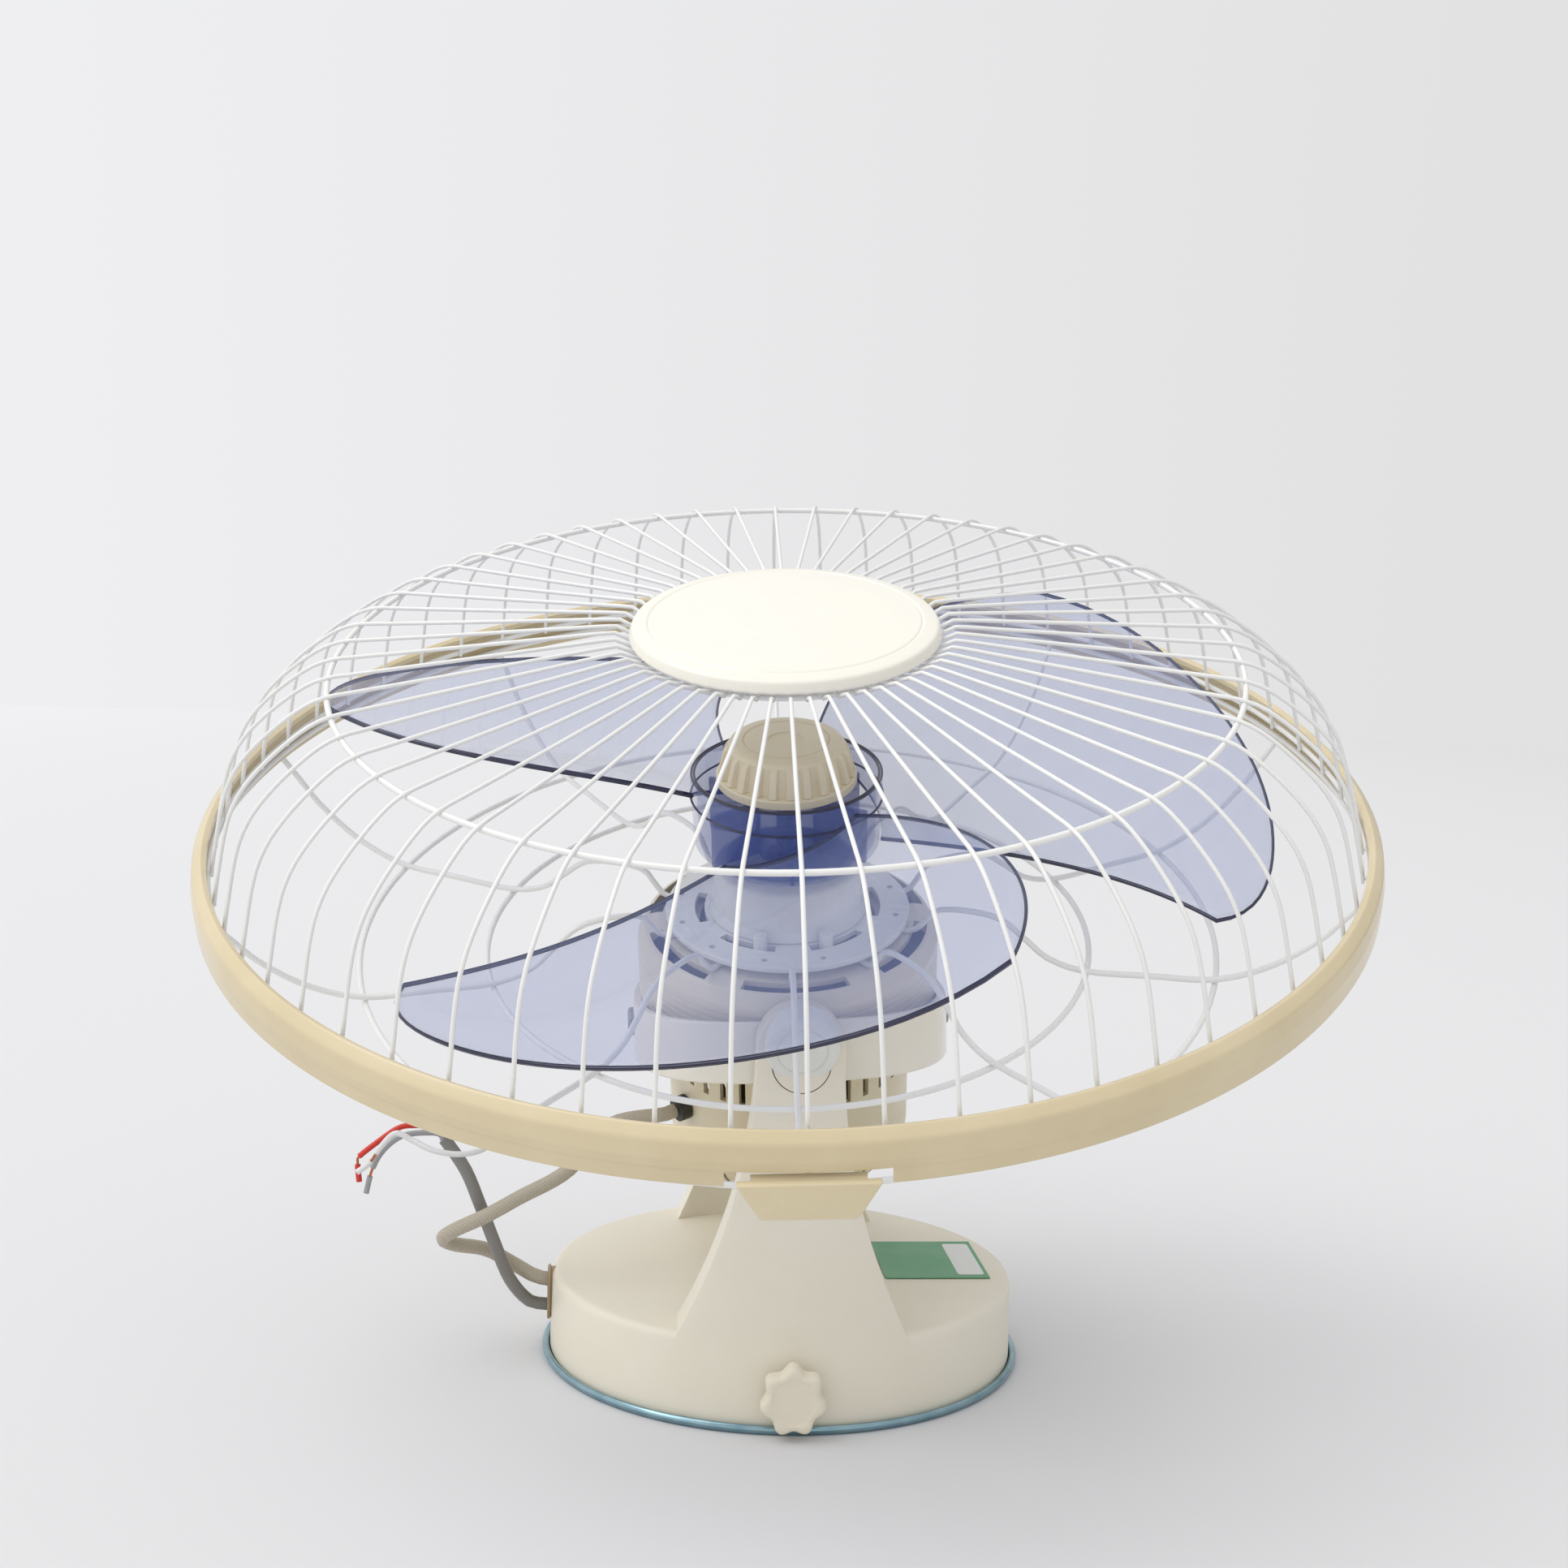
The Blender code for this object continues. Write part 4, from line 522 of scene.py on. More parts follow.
cover = turned("moulded_cover", [
    (0.0, COVER_TOP), (COVER_RADIUS, COVER_TOP, 3.6 * MM),
    (COVER_RADIUS + 0.4 * MM, 1.9 * MM, 0.5 * MM), (COVER_RADIUS - 2.1 * MM, 1.9 * MM),
    (COVER_RADIUS - 2.5 * MM, COVER_TOP - 2.5 * MM, 2.0 * MM), (0.0, COVER_TOP - 2.5 * MM),
], None, 192, steps=6)
bore_section = mm((0, 110), (11.3, 110), (11.3, 91.4), (3.6, 91.4), (3.6, 60), (0, 60))
for side in (-1, 1):
    worked(cover, arm(side), "UNION", 30.0)
    bore_place = Matrix.Translation((0, 0, PIVOT)) @ Matrix.Rotation(-side * pi / 2, 4, "X")
    worked(cover, turned("bore_tool", bore_section, bore_place, 96), sharp=30.0)
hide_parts("yoke_cover")
report(cover)

# %% [markdown]
# ## Pivot plugs and caps
#
# A round plug closes each pivot bore. Its face follows the arm's curve, so only a
# thin circle shows. Above it a white cap with a ring groove stands proud and looks
# a little downwards.

# %% Plugs and caps
PLUG_RINGS = (0.0, 3.0, 6.0, 8.5, 10.2, 10.9)
PLUG_BACK = 91.6 * MM
CAP_PROUD, CAP_THICK = 4.4 * MM, 6.2 * MM
CAP_HEIGHT = 148.5 * MM


def plug(side, turns=72):
    """A plug whose outer face lies in the arm's cylinder."""
    bm = bmesh.new()
    outer = []
    for radius in PLUG_RINGS:
        row = []
        for i in range(1 if radius == 0.0 else turns):
            x = radius * MM * cos(tau * i / turns)
            z = radius * MM * sin(tau * i / turns)
            row.append(bm.verts.new((x, side * sqrt(COVER_RADIUS**2 - x**2), PIVOT + z)))
        outer.append(row)
    back = [bm.verts.new((v.co.x, side * PLUG_BACK, v.co.z)) for v in outer[-1]]
    for i in range(turns):
        j = (i + 1) % turns
        bm.faces.new((outer[0][0], outer[1][i], outer[1][j]))
    for a, b in zip(outer[1:], [*outer[2:], back]):
        band(bm, b, a)
    bm.faces.new(back)
    return skin_of(bm, "plug")


cap_section = mm(
    (0, 6.3), (8.9, 6.2, 0.2), (9.4, 5.6, 0.2), (9.9, 6.2, 0.2), (14, 6, 2.2), (14, -4), (0, -4)
)
plugs, caps = [], []
for side, name in ((-1, "front"), (1, "rear")):
    plugs.append(new_piece(f"plug_{name}", plug(side)))
    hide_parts(f"pivot_plug_{name}")
    seat = Matrix.Translation((0, side * (COVER_RADIUS + CAP_PROUD - CAP_THICK), CAP_HEIGHT))
    lean = Matrix.Rotation(-side * (pi / 2 + HEAD_PITCH), 4, "X")
    caps.append(turned(f"cap_{name}", cap_section, seat @ lean, 96, steps=6))
    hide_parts(f"pivot_cap_{name}")
print("two plugs, two caps")

# %% [markdown]
# ## Thumb knob
#
# The seven lobed knob at the foot holds the cover to the plate. Its outline is a
# circle with a wave on it, lofted in layers so that the face is domed and the rim
# rounded.

# %% Thumb knob
KNOB_LOBES = 7
KNOB_SQUEEZE = 0.93
KNOB_FRONT = -100.3 * MM
KNOB_HEIGHT = 15.5 * MM


def lobed(radius, wave, count=140):
    """A circle with a wave for each lobe, a little taller than wide."""
    points = []
    for i in range(count):
        a = tau * i / count
        r = radius + wave * cos(KNOB_LOBES * (a + 0.2))
        points.append((KNOB_SQUEEZE * r * cos(a), r * sin(a)))
    return points


def lofted(name, layers, place=None, sharp=32.0):
    """A closed skin through outlines of equal count; layers are (outline, height)."""
    bm = bmesh.new()
    rows = [[bm.verts.new((x, y, z)) for x, y in outline] for outline, z in layers]
    for lower, upper in zip(rows, rows[1:]):
        band(bm, lower, upper)
    bm.faces.new(rows[0])
    bm.faces.new(rows[-1])
    return new_piece(name, skin_of(bm, name), place, sharp)


KNOB_LAYERS = mm(
    (11.6, 1.0, 0), (12.4, 1.2, 0.6), (12.4, 1.2, 4.6), (12.1, 1.15, 5.8), (11.5, 1.0, 6.6),
    (10.6, 0.8, 7.0), (9.2, 0.3, 7.1), (8.8, 0, 6.9), (8.2, 0, 6.8), (4.0, 0, 6.9), (0.4, 0, 7.0),
)
knob_place = Matrix.Translation((0, KNOB_FRONT, KNOB_HEIGHT)) @ Matrix.Rotation(pi / 2, 4, "X")
knob = lofted("thumb_knob", [(lobed(radius, wave), z) for radius, wave, z in KNOB_LAYERS], knob_place)
worked(knob, turned("neck_tool", mm(
    (0, 1), (5, 1), (5, -3.2, 0.3), (2.5, -3.2), (2.5, -11), (0, -11),
), knob_place, 48), "UNION")
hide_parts("cover_knob")
report(knob)

# %% [markdown]
# ## Gimbal ring
#
# The glossy ring between the arms is a rounded square in plan, a superellipse. Its
# wall is swept along that curve as a small rounded section, which gives the long
# highlights that the photograph shows on its lip.

# %% Gimbal ring
RING_OUTER = (64.5 * MM, 75.0 * MM)
RING_INNER = (60.5 * MM, 71.0 * MM)
RING_WALL = 4 * MM
RING_STEPS = 200
PIN_RADIUS = 3.6 * MM


def squared_oval(half_x, half_y, angle, power=2.8):
    """A point of a superellipse."""
    c, s = cos(angle), sin(angle)
    x = copysign(abs(c) ** (2 / power), c) * half_x
    y = copysign(abs(s) ** (2 / power), s) * half_y
    return Vector((x, y, 0))


ring_section = filleted(mm((0, -12, 1.3), (0, 12, 1.3), (-4, 12, 1.3), (-4, -12, 1.3)), 5)
bm = bmesh.new()
loops = []
for i in range(RING_STEPS):
    angle = tau * i / RING_STEPS
    outer, inner = squared_oval(*RING_OUTER, angle), squared_oval(*RING_INNER, angle)
    loops.append([
        bm.verts.new(outer.lerp(inner, -p.x / RING_WALL) + Vector((0, 0, p.y))) for p in ring_section
    ])
for a, b in zip(loops, loops[1:] + loops[:1]):
    band(bm, b, a)
orbit_ring = new_piece("orbit_ring", skin_of(bm, "gimbal_ring"), gimbal_frame)
for axis, reach in (("Y", 70 * MM), ("X", 80 * MM)):
    bore_place = gimbal_frame @ Matrix.Rotation(pi / 2, 4, axis)
    worked(orbit_ring, rod(PIN_RADIUS, reach, bore_place, 40))
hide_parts("gimbal_ring")
report(orbit_ring)

# %% [markdown]
# ## Motor head
#
# The motor stands in a cream shell with fine turned grooves, and long slots in its
# front face let the air through. The grooves are part of the drawn section, and the
# slots are cut afterwards.

# %% Motor shell
SHELL_MM = 61.5
GROOVES = 7
shell_section = mm((36, 48), (53, 48, 1), (58.6, 46.6, 2), (SHELL_MM, 41.5, 5))
for i in range(GROOVES):
    z = 37.0 - 3.0 * i
    shell_section += mm(
        (SHELL_MM, z, 0.1), (SHELL_MM - 0.35, z - 0.4, 0.1), (SHELL_MM, z - 0.8, 0.1)
    )
shell_section += mm(
    (59.3, 12.3, 0.6), (56.9, 12.3), (59.1, 30), (59.1, 40), (52.5, 45.6), (36, 45.6)
)
shell = turned("turned_shell", shell_section, head_frame, 180, steps=3)
slot_outlines = [sector(51.5 * MM, 57.0 * MM, 60 * i + 30, 44, 16) for i in range(6)]
worked(shell, prisms("slot_tool", slot_outlines, 40 * MM, 56 * MM, head_frame))
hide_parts("motor_shell")
report(shell)

# %% [markdown]
# Behind the motor, under the gimbal ring, is the gearbox housing: a turned section
# with a boss for each side pin. Narrow vents stand round its top and shorter ones
# break its lower corner. Solid wall stays in front and behind.

# %% Gearbox housing
HOUSING_MM = 50.3
VENTS, LOUVRES = 36, 30
VENT_LIMIT = 0.27
housing = turned("gearbox_housing", mm(
    (0, -64.1), (29.7, -64.1), (42.3, -61.5, 4), (47.9, -49.5), (47.9, 12), (57, 12, 0.5),
    (57, 9, 0.8), (HOUSING_MM, 6, 1.5), (HOUSING_MM, -50, 9), (40.3, -65, 8), (30.3, -66.5),
    (0, -66.5),
), head_frame, 180, steps=6)
boss_section = mm((0, 60.2), (9, 60.2, 0.5), (9.6, 48.9), (0, 48.9))
for side in (-1, 1):
    boss_place = head_frame @ Matrix.Rotation(side * pi / 2, 4, "Y")
    worked(housing, turned("boss_tool", boss_section, boss_place, 64), "UNION")
vents = [bar(turn, 44, 56, 1.4) for turn in half_steps(VENTS) if abs(sin(turn)) >= VENT_LIMIT]
louvres = [bar(turn, 42.5, 51.5, 1.2) for turn in half_steps(LOUVRES)]
worked(housing, prisms("vent_tool", vents, -13.0 * MM, 3.5 * MM, head_frame))
worked(housing, prisms("louvre_tool", louvres, -64.0 * MM, -49.5 * MM, head_frame))
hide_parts("gear_housing")
report(housing)

# %% [markdown]
# Over the motor lie a white plate with kidney shaped openings, small holes and four
# pegs, and a bell round the shaft. The inner hoop of the rear guard is clamped
# between shell and plate.

# %% Front plate and bell
FACE_MM, BACK_MM = 53.7, 51.3
PINHOLE_CIRCLE = 44.5 * MM
PEG_CIRCLE = 35.1 * MM
PEG_DEGREES = (-111.1, -67.7, 68.9, 112.3)
front_plate = turned("motor_plate", mm(
    (26.1, FACE_MM), (49.6, FACE_MM, 0.8), (49.6, BACK_MM), (41.9, BACK_MM), (41.9, 48.3),
    (39.4, 48.3), (38.6, BACK_MM), (26.1, BACK_MM),
), head_frame, 160)
kidneys = [sector(33.8 * MM, 37.8 * MM, 60 * i, 38, 14) for i in range(6)]
pinholes = []
for turn in half_steps(12):
    centre = (PINHOLE_CIRCLE * cos(turn), PINHOLE_CIRCLE * sin(turn))
    pinholes.append(arc(centre, 1.3 * MM, 0, 330, 12))
worked(front_plate, prisms("kidney_tool", kidneys + pinholes, 50 * MM, 60 * MM, head_frame))
peg_section = mm((0, 59), (2.7, 59, 0.6), (2.9, 52.4), (0, 52.4))
for degrees in PEG_DEGREES:
    peg_place = head_frame @ around(radians(degrees)) @ Matrix.Translation((PEG_CIRCLE, 0, 0))
    worked(front_plate, turned("peg_tool", peg_section, peg_place, 32), "UNION")
bell = turned("shaft_bell", mm(
    (9, 77), (24.5, 77, 1), (29.4, 73.8, 3), (31, 58, 1), (32.6, 54, 0.4), (28.6, 54), (26, 73),
    (9, 74.6),
), head_frame, 128)
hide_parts("front_plate")
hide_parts("front_bell")
report(front_plate)

# %% [markdown]
# ## Rear guard
#
# Welded and enamelled steel wire: four hoops, and ten wires that hump over the yoke,
# dip to the two middle hoops and rise to the rim. Each wire is one smooth run
# through the points where a bending jig would hold it.

# %% Rear guard
REAR_WIRE = 1.2 * MM
REAR_COUNT = 10
rear_bends = mm(
    (44, 49.5), (52.1, 49.5), (57, 54.2), (62.1, 60.4), (74, 62.1), (87.6, 60.4), (98, 52.8),
    (107.5, 45.6), (122.5, 42.2), (148, 44.2), (172.5, 46.8), (192.5, 56), (209, 70),
    (218, 81.4), (224.9, 90.3),
)
REAR_HOOPS = {
    "inner": (44.0, 49.5), "small": (122.5, 39.5), "large": (172.5, 44.0), "outer": (225.8, 92.0),
}
radials = [
    flowing(standing(rear_bends, GUARD_TURN + tau * k / REAR_COUNT), 3.5 * MM)
    for k in range(REAR_COUNT)
]
rear_rings = [hoop(radius, height) for radius, height in mm(*REAR_HOOPS.values())]
rear_guard = wires("rear_cage", radials, REAR_WIRE, head_frame, 3, rear_rings)
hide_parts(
    *[f"rear_hoop_{name}" for name in REAR_HOOPS],
    *[f"rear_wire_{k:02d}" for k in range(1, REAR_COUNT + 1)],
)
print("rear guard,", len(radials), "wires and", len(rear_rings), "hoops")

# %% [markdown]
# ## Front guard
#
# Sixty thin spokes hook out from under the disc, run straight to the shoulder hoop
# and bend down into the rim. Two more hoops hold their ends, one under the disc and
# one inside the rim.

# %% Front guard
SPOKE_WIRE = 0.8 * MM
HOOP_WIRE = 1.15 * MM
SPOKE_COUNT = 60
spoke_bends = mm(
    (50, 169.9), (57, 169.9), (60.4, 171.4), (63.4, 173.4), (67.5, 173.8), (90, 171.9),
    (120, 169.3), (150, 166.8), (164, 165.7), (172.85, 164.9), (180, 162.6), (187, 158.6),
    (194, 153.6), (200.5, 148.2), (206.8, 141.6), (211.8, 133.6), (215.4, 124), (218.4, 113),
    (221.2, 102), (222.2, 97),
)
spokes = [
    flowing(standing(spoke_bends, GUARD_TURN + tau * k / SPOKE_COUNT), 4.0 * MM)
    for k in range(SPOKE_COUNT)
]
cage = wires("spoke_cage", spokes, SPOKE_WIRE, head_frame, 2)
cage_hoops = wires("cage_hoops", [], HOOP_WIRE, head_frame, 3, [
    hoop(172.85 * MM, 163.3 * MM), hoop(51.0 * MM, 168.0 * MM, 96), hoop(223.6 * MM, 98.2 * MM),
])
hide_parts("front_guard")
print("front guard,", len(spokes), "spokes")

# %% [markdown]
# ## Rim, disc and clasp
#
# The rim is a moulded ring, open inwards, that clamps both guards. A faint step runs
# round it two thirds down, and a notch in front makes room for the clasp.

# %% Rim
GUARD_MM = 230.0
rim = turned("moulded_rim", mm(
    (223.4, 104.4), (225.4, 105.6, 1), (229, 102.4, 3), (GUARD_MM, 96.4, 2), (GUARD_MM, 93.4, 0.1),
    (229.7, 93.2, 0.1), (229.9, 87.6, 0.4), (227.6, 87.6, 0.3), (227.6, 97), (225.4, 102.6),
    (223.4, 102.4),
), head_frame, 288, steps=5)
notch = rectangle(222, 236, -25.4, 25.4)
worked(rim, prisms("notch_tool", [notch], 80 * MM, 93.1 * MM, head_frame @ around(GUARD_TURN)))
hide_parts("guard_ring")
report(rim)

# %% [markdown]
# The disc is a shallow moulding with one ring groove near its edge. It hides the
# inner ends of the spokes.

# %% Disc
DISC_MM = 59.9
disc = turned("guard_disc", mm(
    (0, 180.6), (20, 180.4, 5), (40, 179.5, 5), (51.4, 178.6, 0.3), (52.2, 178, 0.3),
    (53, 178.5, 0.3), (58.4, 177.4, 2.2), (DISC_MM, 173.6, 1), (59, 172.6, 0.3), (57, 174.8),
    (40, 177), (0, 178.2),
), head_frame, 160, steps=5)
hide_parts("centre_disc")
report(disc)

# %% [markdown]
# The clasp is a small flap that hangs under the rim. A lug at its top carries the
# hinge, and a hook behind its foot catches the rim. It is drawn flat and then stood
# up against the rim by swapping axes.

# %% Clasp
CLASP_SEAT = (230.4 * MM, 0, 91.4 * MM)
CLASP_THICK = 3.0 * MM
CLASP_CORNER = 2.2 * MM
stood_up = Matrix(((0, 0, 1, 0), (1, 0, 0, 0), (0, 1, 0, 0), (0, 0, 0, 1)))
clasp_place = head_frame @ around(GUARD_TURN) @ Matrix.Translation(CLASP_SEAT) @ stood_up
clasp_outline = mm((-22, 0), (22, 0))
clasp_outline += arc((13.6 * MM, -11.0 * MM), CLASP_CORNER, -25, -90, 8)
clasp_outline += arc((-13.6 * MM, -11.0 * MM), CLASP_CORNER, -90, -155, 8)
clasp = edged(prisms("clasp", [clasp_outline], 0.0, CLASP_THICK, clasp_place), 0.7 * MM)
for tool, outline, bottom in (
    ("lug_tool", rectangle(-17.5, 17.5, -1.9, -0.2), -3.0 * MM),
    ("hook_tool", rectangle(-10, 10, -9.4, -7.4), -9.0 * MM),
):
    worked(clasp, prisms(tool, [outline], bottom, 1.0 * MM, clasp_place), "UNION")
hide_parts("guard_clasp")
report(clasp)

# %% [markdown]
# ## Blades, hub and nut
#
# Blades and hub are one moulding of clear blue plastic. The blade is a lofted sheet:
# both edges follow formulas in the radius, and the sheet gets its thickness from
# Solidify. Its cut edges look almost navy, because there the eye looks along the
# sheet and not through it, so the rim faces get a dark finish of their own and a
# thin dark bead follows them.

# %% Blades
HUB_MM = 38.2
BLADE_COUNT = 3
BLADE_SWEEP = 199.5 * MM
BLADE_ROOT = HUB_MM * MM - 0.4 * MM
BLADE_PHASE = radians(-4.0)
BLADE_THICK = 2.0 * MM
BEAD_RADIUS = 0.62 * MM
SPANS, CHORDS = 44, 36


def blade_edges(share):
    """Angles and heights of both edges, at a share of the way from root to tip."""
    lead_angle = radians(75.0 - 26.0 * share**2.0)
    trail_angle = radians(-9.0 - 17.0 * share**1.8)
    lead_height = (108.0 + 60.0 * share - 37.0 * share**2) * MM
    trail_height = (87.0 - 3.5 * share - 5.5 * share**6) * MM
    return lead_angle, trail_angle, lead_height, trail_height


def blade_reach(across):
    """Radius of the tip: it drops to the trailing edge and its corners are round."""
    drop = 15.0 * MM * (1.0 - across) ** 2.0
    corner = 12.0 * MM * abs(2.0 * across - 1.0) ** 7
    return BLADE_SWEEP - drop - corner


def blade_sheet(name):
    """One blade as a grid of rows from root to tip, with no thickness yet."""
    bm = bmesh.new()
    grid = []
    for i in range(SPANS + 1):
        row = []
        for j in range(CHORDS + 1):
            across = j / CHORDS
            radius = BLADE_ROOT + (blade_reach(across) - BLADE_ROOT) * i / SPANS
            share = (radius - BLADE_ROOT) / (BLADE_SWEEP - BLADE_ROOT)
            lead, trail, high, low = blade_edges(share)
            angle = trail + (lead - trail) * across
            height = low + (high - low) * across**1.25
            row.append(bm.verts.new((radius * cos(angle), radius * sin(angle), height)))
        grid.append(row)
    for lower, upper in zip(grid, grid[1:]):
        for a, b, c, d in zip(lower, upper, upper[1:], lower[1:]):
            bm.faces.new((a, b, c, d))
    return mesh_of(bm, name)


blade_mesh = blade_sheet("blade")
points = [v.co.copy() for v in blade_mesh.vertices]
rows = [points[i : i + CHORDS + 1] for i in range(0, len(points), CHORDS + 1)]
border = [row[0] for row in rows] + rows[-1][1:-1] + [row[-1] for row in reversed(rows)]
blades, beads = [], []
for k in range(BLADE_COUNT):
    turn = around(BLADE_PHASE + tau * k / BLADE_COUNT)
    blade = new_piece(f"blade_{k + 1}", blade_mesh.copy(), head_frame @ turn, 60)
    thick = blade.modifiers.new("thickness", "SOLIDIFY")
    thick.thickness = BLADE_THICK
    thick.offset = 0.0
    thick.material_offset_rim = 1
    blades.append(blade)
    beads.append([turn @ point for point in border])
blade_rims = wires("blade_rims", beads, BEAD_RADIUS, head_frame, 2)
print("blades", len(blades))

# %% [markdown]
# The hub is a cup with a boss inside it for the shaft. Six webs join the boss to the
# cup, and dark lines mark the cup's two lips and its shoulder.

# %% Hub cup and its webs
hub = turned("hub_cup", mm(
    (36.2, 114, 0.5), (HUB_MM, 114, 0.5), (37.2, 84.5, 3), (31.2, 79, 4), (12.6, 79), (12.6, 81),
    (30.6, 81, 3), (35.2, 85.2, 2),
), head_frame, 144)
boss = turned("hub_boss", mm((4.3, 79), (4.3, 110), (12, 110, 0.5), (12, 79)), head_frame, 96)
webs = [bar(turn, 11, 34.8, 0.8) for turn in half_steps(6)]
worked(boss, prisms("web_tool", webs, 81.5 * MM, 104.0 * MM, head_frame), "UNION")
lip_lines = mm((37.6, 114.1), (36.5, 114.1), (38.1, 104.6))
hub_rims = wires("hub_rims", [], 0.45 * MM, head_frame, 2, [hoop(r, z, 120) for r, z in lip_lines])
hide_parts("blades")
report(hub)

# %% [markdown]
# The nut that holds the blades has flat topped ribs for the fingers and a shallow
# ring groove in its face. It is lofted like the knob, from a circle whose ribs grow
# and fade with the height.

# %% Spinner nut
def fluted(radius, depth, count=24, samples=384):
    """A circle with flat topped ribs that stand proud of it by a depth."""
    points = []
    for i in range(samples):
        a = tau * i / samples
        rib = min(max(0.5 + 2.2 * cos(count * a), 0.0), 1.0)
        points.append(((radius + depth * rib) * cos(a), (radius + depth * rib) * sin(a)))
    return points


NUT_LAYERS = mm(
    (27.2, 0, 110.3), (27.8, 0, 110.9), (27.8, 0, 113.6), (27.4, 0, 114.3), (25.3, 0, 114.5),
    (24.9, 2.2, 114.6), (24.7, 2.2, 115.2), (23.6, 1.9, 120.5), (23.0, 1.6, 123.6),
    (22.8, 1.0, 124.8), (22.9, 0, 125.6), (22.3, 0, 126.9), (21.2, 0, 127.7), (19.6, 0, 128.0),
    (17.3, 0, 128.0), (17.1, 0, 127.6), (16.6, 0, 127.6), (16.4, 0, 128.0), (7.2, 0, 128.0),
    (7.0, 0, 127.5), (0.3, 0, 127.5),
)
nut_outlines = [(fluted(radius, depth), z) for radius, depth, z in NUT_LAYERS]
nut = lofted("spinner", nut_outlines, head_frame, 28.0)
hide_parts("spinner_nut")
report(nut)

# %% [markdown]
# ## Label and grommet
#
# The label is a plain film with a paler panel, which is laid on it as a piece a
# tenth of a millimetre thick. The grommet is a soft oval collar with a lip on the
# outside of the cover and a bore for each cord.

# %% Label panel and grommet collar
LABEL_TURN = radians(2.4)
LABEL_CENTRE = (63.5 * MM, 7.4 * MM)
OVAL_HALF_WIDTH, OVAL_HALF_HEIGHT = 5.2 * MM, 10.6 * MM
label_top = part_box("cover_label")[1].z
label_place = Matrix.Translation((*LABEL_CENTRE, label_top)) @ around(LABEL_TURN)
label_corners = []
for x, y, start in ((18.8, 19.6, 0), (10.8, 19.6, 90), (10.8, -19.6, 180), (18.8, -19.6, 270)):
    label_corners += arc((x * MM, y * MM), 1.6 * MM, start, start + 90, 6)
panel = edged(prisms("label_panel", [label_corners], 0.02 * MM, 0.10 * MM, label_place), 0.03 * MM, 1)


def oval(grow):
    """Outline of the collar, grown all round."""
    radius = OVAL_HALF_WIDTH + grow
    reach = OVAL_HALF_HEIGHT - OVAL_HALF_WIDTH
    return arc((0, reach), radius, 0, 180, 24) + arc((0, -reach), radius, 180, 360, 24)


COLLAR_LAYERS = mm(
    (0, -4.4), (0, 0.5), (0.6, 0.6), (0.9, 0.9), (0.8, 1.5), (0.3, 1.9), (-0.6, 1.9), (-1.0, 1.6)
)
upright = Vector((0, 0, 1))
facing = Matrix((upright.cross(outward), upright, outward)).transposed().to_4x4()
collar_place = Matrix.Translation(outlet(0.0, 0.0)) @ facing
collar = lofted("grommet_collar", [(oval(grow), z) for grow, z in COLLAR_LAYERS], collar_place)
for rise, width in ((OUTLET_SPACING, SLEEVE), (-OUTLET_SPACING, CABLE)):
    bore_place = collar_place @ Matrix.Translation((0, rise, 0))
    worked(collar, rod(width / 2 + 0.2 * MM, 9 * MM, bore_place, 32))
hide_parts("lead_grommet")
report(collar)

# %% [markdown]
# ## Finishes
#
# Each finish starts from the real material and how its surface was made. Colours are
# written as sRGB hex and turned to linear here. Small functions add a node with its
# settings and links, and patterns are scaled from millimetres: an object's texture
# space is in metres, so a pattern of w millimetres has a scale of 1000 / w.

# %% Colour and node helpers
def linear(hex_colour):
    """An sRGB hex colour as linear red, green, blue and alpha."""
    channels = [int(hex_colour[i : i + 2], 16) / 255 for i in (0, 2, 4)]
    return (*[c / 12.92 if c <= 0.04045 else ((c + 0.055) / 1.055) ** 2.4 for c in channels], 1.0)


def feed(node, inputs):
    """Set a node's inputs; each is a value or the output that feeds it."""
    for name, value in inputs.items():
        if isinstance(value, bpy.types.NodeSocket):
            node.id_data.links.new(value, node.inputs[name])
        else:
            node.inputs[name].default_value = value


def add_node(tree, kind, inputs, **settings):
    """A node with its settings and inputs."""
    node = tree.nodes.new(kind)
    for name, value in settings.items():
        setattr(node, name, value)
    feed(node, inputs)
    return node


def per_mm(width):
    """The scale of a pattern with a width in millimetres."""
    return 1000.0 / width


def noise(tree, where, width, detail, **more):
    """Cloudy noise with clouds of a width in millimetres."""
    inputs = {"Vector": where, "Scale": per_mm(width), "Detail": detail, **more}
    return add_node(tree, "ShaderNodeTexNoise", inputs).outputs["Fac"]


def ranged(tree, value, low, high, new_low=0.0, new_high=1.0):
    """A value between two limits, moved to between two new ones."""
    limits = {"From Min": low, "From Max": high, "To Min": new_low, "To Max": new_high}
    return add_node(tree, "ShaderNodeMapRange", {"Value": value, **limits}).outputs["Result"]


def bumped(tree, height, strength, distance=0.1 * MM):
    """A normal from a height pattern."""
    inputs = {"Height": height, "Strength": strength, "Distance": distance}
    return add_node(tree, "ShaderNodeBump", inputs).outputs["Normal"]


def shade_between(tree, share, dark, light):
    """A colour between two hex colours, by a share from 0 to 1."""
    inputs = {"Factor": share, "A": linear(dark), "B": linear(light)}
    return add_node(tree, "ShaderNodeMix", inputs, data_type="RGBA").outputs["Result"]


def finish(name):
    """A material with its tree, its shader and its object coordinates."""
    mat = bpy.data.materials.new(name)
    mat.use_nodes = True
    tree = mat.node_tree
    shader = tree.nodes["Principled BSDF"]
    where = add_node(tree, "ShaderNodeTexCoord", {}).outputs["Object"]
    return mat, tree, shader, where


print("white is", [round(c, 3) for c in linear("FFFFFF")])

# %% [markdown]
# ### Moulded ABS, satin and gloss
#
# Cover, arms and knob are ABS from a lightly textured tool: a fine grain breaks up
# the highlight, and age has made the cream a little uneven. The rim, disc, clasp and
# gimbal ring come from polished tools, so they get a tighter highlight with only a
# slow waviness in it.

